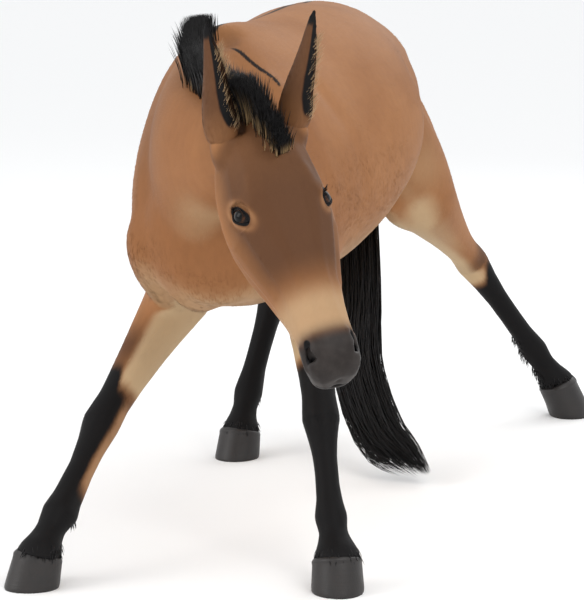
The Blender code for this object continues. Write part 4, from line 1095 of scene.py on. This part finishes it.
def makeHoof(leg):
    name = legNode[leg]
    hoof = copyOfNodes(["hoof_" + name], "hoof" + leg[0].upper() + leg[1:])
    voxelRemesh(hoof, hoofShape["voxel"])
    points, edges = pointsOf(hoof), edgesOf(hoof)
    flat = points[:, 2] < 0.003
    level = points[:, 2].copy()
    points = relax(points, edges, np.ones(len(points)), hoofShape["turns"])
    points[flat, 2] = np.minimum(points[flat, 2], level[flat])
    top, up = coronetFrame(leg)
    ahead = aheadOf(leg)
    behind = np.maximum(-(points - top) @ ahead - 0.004, 0)
    runsIn = behind * hoofShape["heelRunsIn"] * np.clip(1 - points[:, 2] / 0.07, 0, 1)
    points += ahead * runsIn[:, None]
    low = (points - top) @ up
    band = np.exp(-((low + 0.007) / 0.0045) ** 2) * hoofShape["band"]  # the soft band under the hair
    setPoints(hoof, points)
    points += normalsOf(hoof) * band[:, None]
    setPoints(hoof, points)
    hoof.data.shade_smooth()
    return hoof


def aheadOf(leg):  # the way the toe points, level with the floor
    fetlock, coronet = legs[leg][2:]
    return unit(np.array((coronet[0] - fetlock[0], coronet[1] - fetlock[1], 0)))


def coronetFrame(leg):  # the middle of the coronet, and the way up out of it
    fetlock, coronet = (np.array(place) for place in legs[leg][2:])
    return coronet, unit(unit(fetlock - coronet) + (0, 0, 1.2))


def makeFringe(skin):  # short hair over the hooves, and the tufts behind the fetlocks
    draw = np.random.default_rng(hoofShape["seed"])
    points, normals = pointsOf(skin), normalsOf(skin)
    allRoots, allWays, allLong, allNormals = [], [], [], []
    for leg, joints in legs.items():
        coronet, up = coronetFrame(leg)
        low = (points - coronet) @ up
        near = np.linalg.norm(points - coronet, axis=1) < 0.085
        for lowest, highest in ((-0.002, 0.012), (0.010, 0.026)):
            count = hoofShape["fringe"]
            able = np.flatnonzero(near & (low > lowest) & (low < highest) & (normals @ up < 0.6))
            pick = draw.choice(able, count)
            allRoots.append(points[pick] - normals[pick] * 0.001)
            allNormals.append(normals[pick])
            spread = draw.normal(0, 0.16, (count, 3))
            allWays.append(unit(-up * 0.95 + normals[pick] * 0.34 + spread))
            allLong.append(hoofShape["fringeLong"] * draw.uniform(0.65, 1.25, count))
        fetlock = np.array(joints[2])
        gap = reachFrom(points, fetlock - up * 0.012, fetlock + up * 0.016)[0]
        behind = np.flatnonzero((gap < 0.062) & (normals @ aheadOf(leg) < -0.72))
        if len(behind):
            pick = draw.choice(behind, hoofShape["fetlockHair"])
            allRoots.append(points[pick] - normals[pick] * 0.001)
            allNormals.append(normals[pick])
            allWays.append(unit(-up * 0.9 + normals[pick] * 0.40 + draw.normal(0, 0.12, (len(pick), 3))))
            allLong.append(hoofShape["fetlockLong"] * draw.uniform(0.6, 1.2, len(pick)))
    roots, ways = np.concatenate(allRoots), np.concatenate(allWays)
    long, normal = np.concatenate(allLong), np.concatenate(allNormals)
    t = np.linspace(0, 1, 4)[None, :, None]
    paths = roots[:, None] + runOf(ways, long) * t - runOf(normal * 0.16, long) * t ** 2
    paths[..., 2] = np.maximum(paths[..., 2], 0.004)
    marks = np.zeros((len(roots), 4))
    marks[:, 0] = 1
    return growStrands("hoofFringe", paths, normal, hoofShape["hairWidth"], hoofShape["hairThick"], marks)


print("camera, floor and lights")
bpy.ops.object.select_all(action="DESELECT")
bpy.ops.mesh.primitive_plane_add(size=160)
floor = bpy.context.object
floor.name = "floor"
floorBook = ShaderBook("floor")
floor.data.materials.append(floorBook.finish(Base_Color=(0.94, 0.94, 0.94), Roughness=0.85))
floor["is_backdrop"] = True

view = {"place": (1.812, -5.703, 1.4027), "azimuth": 18.5, "elevation": 9.0, "lens": 160.5}
turn = (math.radians(90 - view["elevation"]), 0, math.radians(view["azimuth"]))
bpy.ops.object.camera_add(location=view["place"], rotation=turn)
camera = bpy.context.object
camera.data.lens = view["lens"]
camera.data.sensor_width = 36
camera.data.clip_end = 100
bpy.context.scene.camera = camera

lights = {  # place, size, power, colour
    "key": ((3.2, -3.4, 4.4), 3.0, 105, (1.0, 0.98, 0.95)),
    "fill": ((-4.0, -3.6, 2.8), 3.0, 100, (1.0, 0.98, 0.96)),
    "back": ((1.0, 4.5, 3.8), 3.0, 55, (1.0, 1.0, 1.0)),
}
for name, (place, size, power, colour) in lights.items():
    bpy.ops.object.light_add(type="AREA", location=place)
    lamp = bpy.context.object
    lamp.name = name
    lamp.data.size = size
    lamp.data.energy = power
    lamp.data.color = colour
    lamp.rotation_euler = (Vector((0, -0.2, 0.6)) - Vector(place)).to_track_quat("-Z", "Y").to_euler()
world = bpy.data.worlds.new("studio")
world.use_nodes = True
world.node_tree.nodes["Background"].inputs[0].default_value = (0.98, 0.99, 1.0, 1)
world.node_tree.nodes["Background"].inputs[1].default_value = 1.0
bpy.context.scene.world = world
bpy.context.scene.view_settings.view_transform = "Standard"

print("skin")
skin = makeSkin()
skin.data.materials.append(skinMaterial())
setMarking(skin, markings(pointsOf(skin), normalsOf(skin)))
pickOnly(skin)
bpy.ops.object.mode_set(mode="EDIT")
bpy.ops.mesh.select_all(action="SELECT")
bpy.ops.uv.smart_project(angle_limit=math.radians(66), island_margin=0.0, area_weight=0.0)
bpy.ops.object.mode_set(mode="OBJECT")
skin.data.uv_layers[0].name = "OFBake"
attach(skin, "root")
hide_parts(*fleshNodes)

print("coat")
coat = coatMaterial()
for piece in makeCoat(skin):
    piece.data.materials.append(coat)
    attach(piece, "root")

print("mane, tail and the hair over the hooves")
longHair = longHairMaterial()
for piece in (makeMane(), makeTail(), makeFringe(skin)):
    piece.data.materials.append(longHair)
    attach(piece, "root")
    if piece.name == "tailHair":
        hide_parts("tail")

print("ears and eyes")
for side in ("right", "left"):
    ear = makeEar(side)
    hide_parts("ear_" + side)
    for piece in (ear, makeEarHair(side), makeEarCoat(side), makeLids(side)):
        piece.data.materials.append(skin.data.materials[0] if piece is ear else coat)
        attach(piece, "root")
    lashes = makeLashes(side)
    lashes.data.materials.append(longHair)
    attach(lashes, "root")
    eye = makeEye(side)
    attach(eye, "root")
    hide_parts("eye_" + side)

print("hooves")
horn = hornMaterial()
for leg in legs:
    hoof = makeHoof(leg)
    hoof.data.materials.append(horn)
    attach(hoof, "root")
    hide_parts("hoof_" + legNode[leg])

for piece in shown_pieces():
    piece.data.calc_loop_triangles()
    print(piece.name, len(piece.data.loop_triangles))
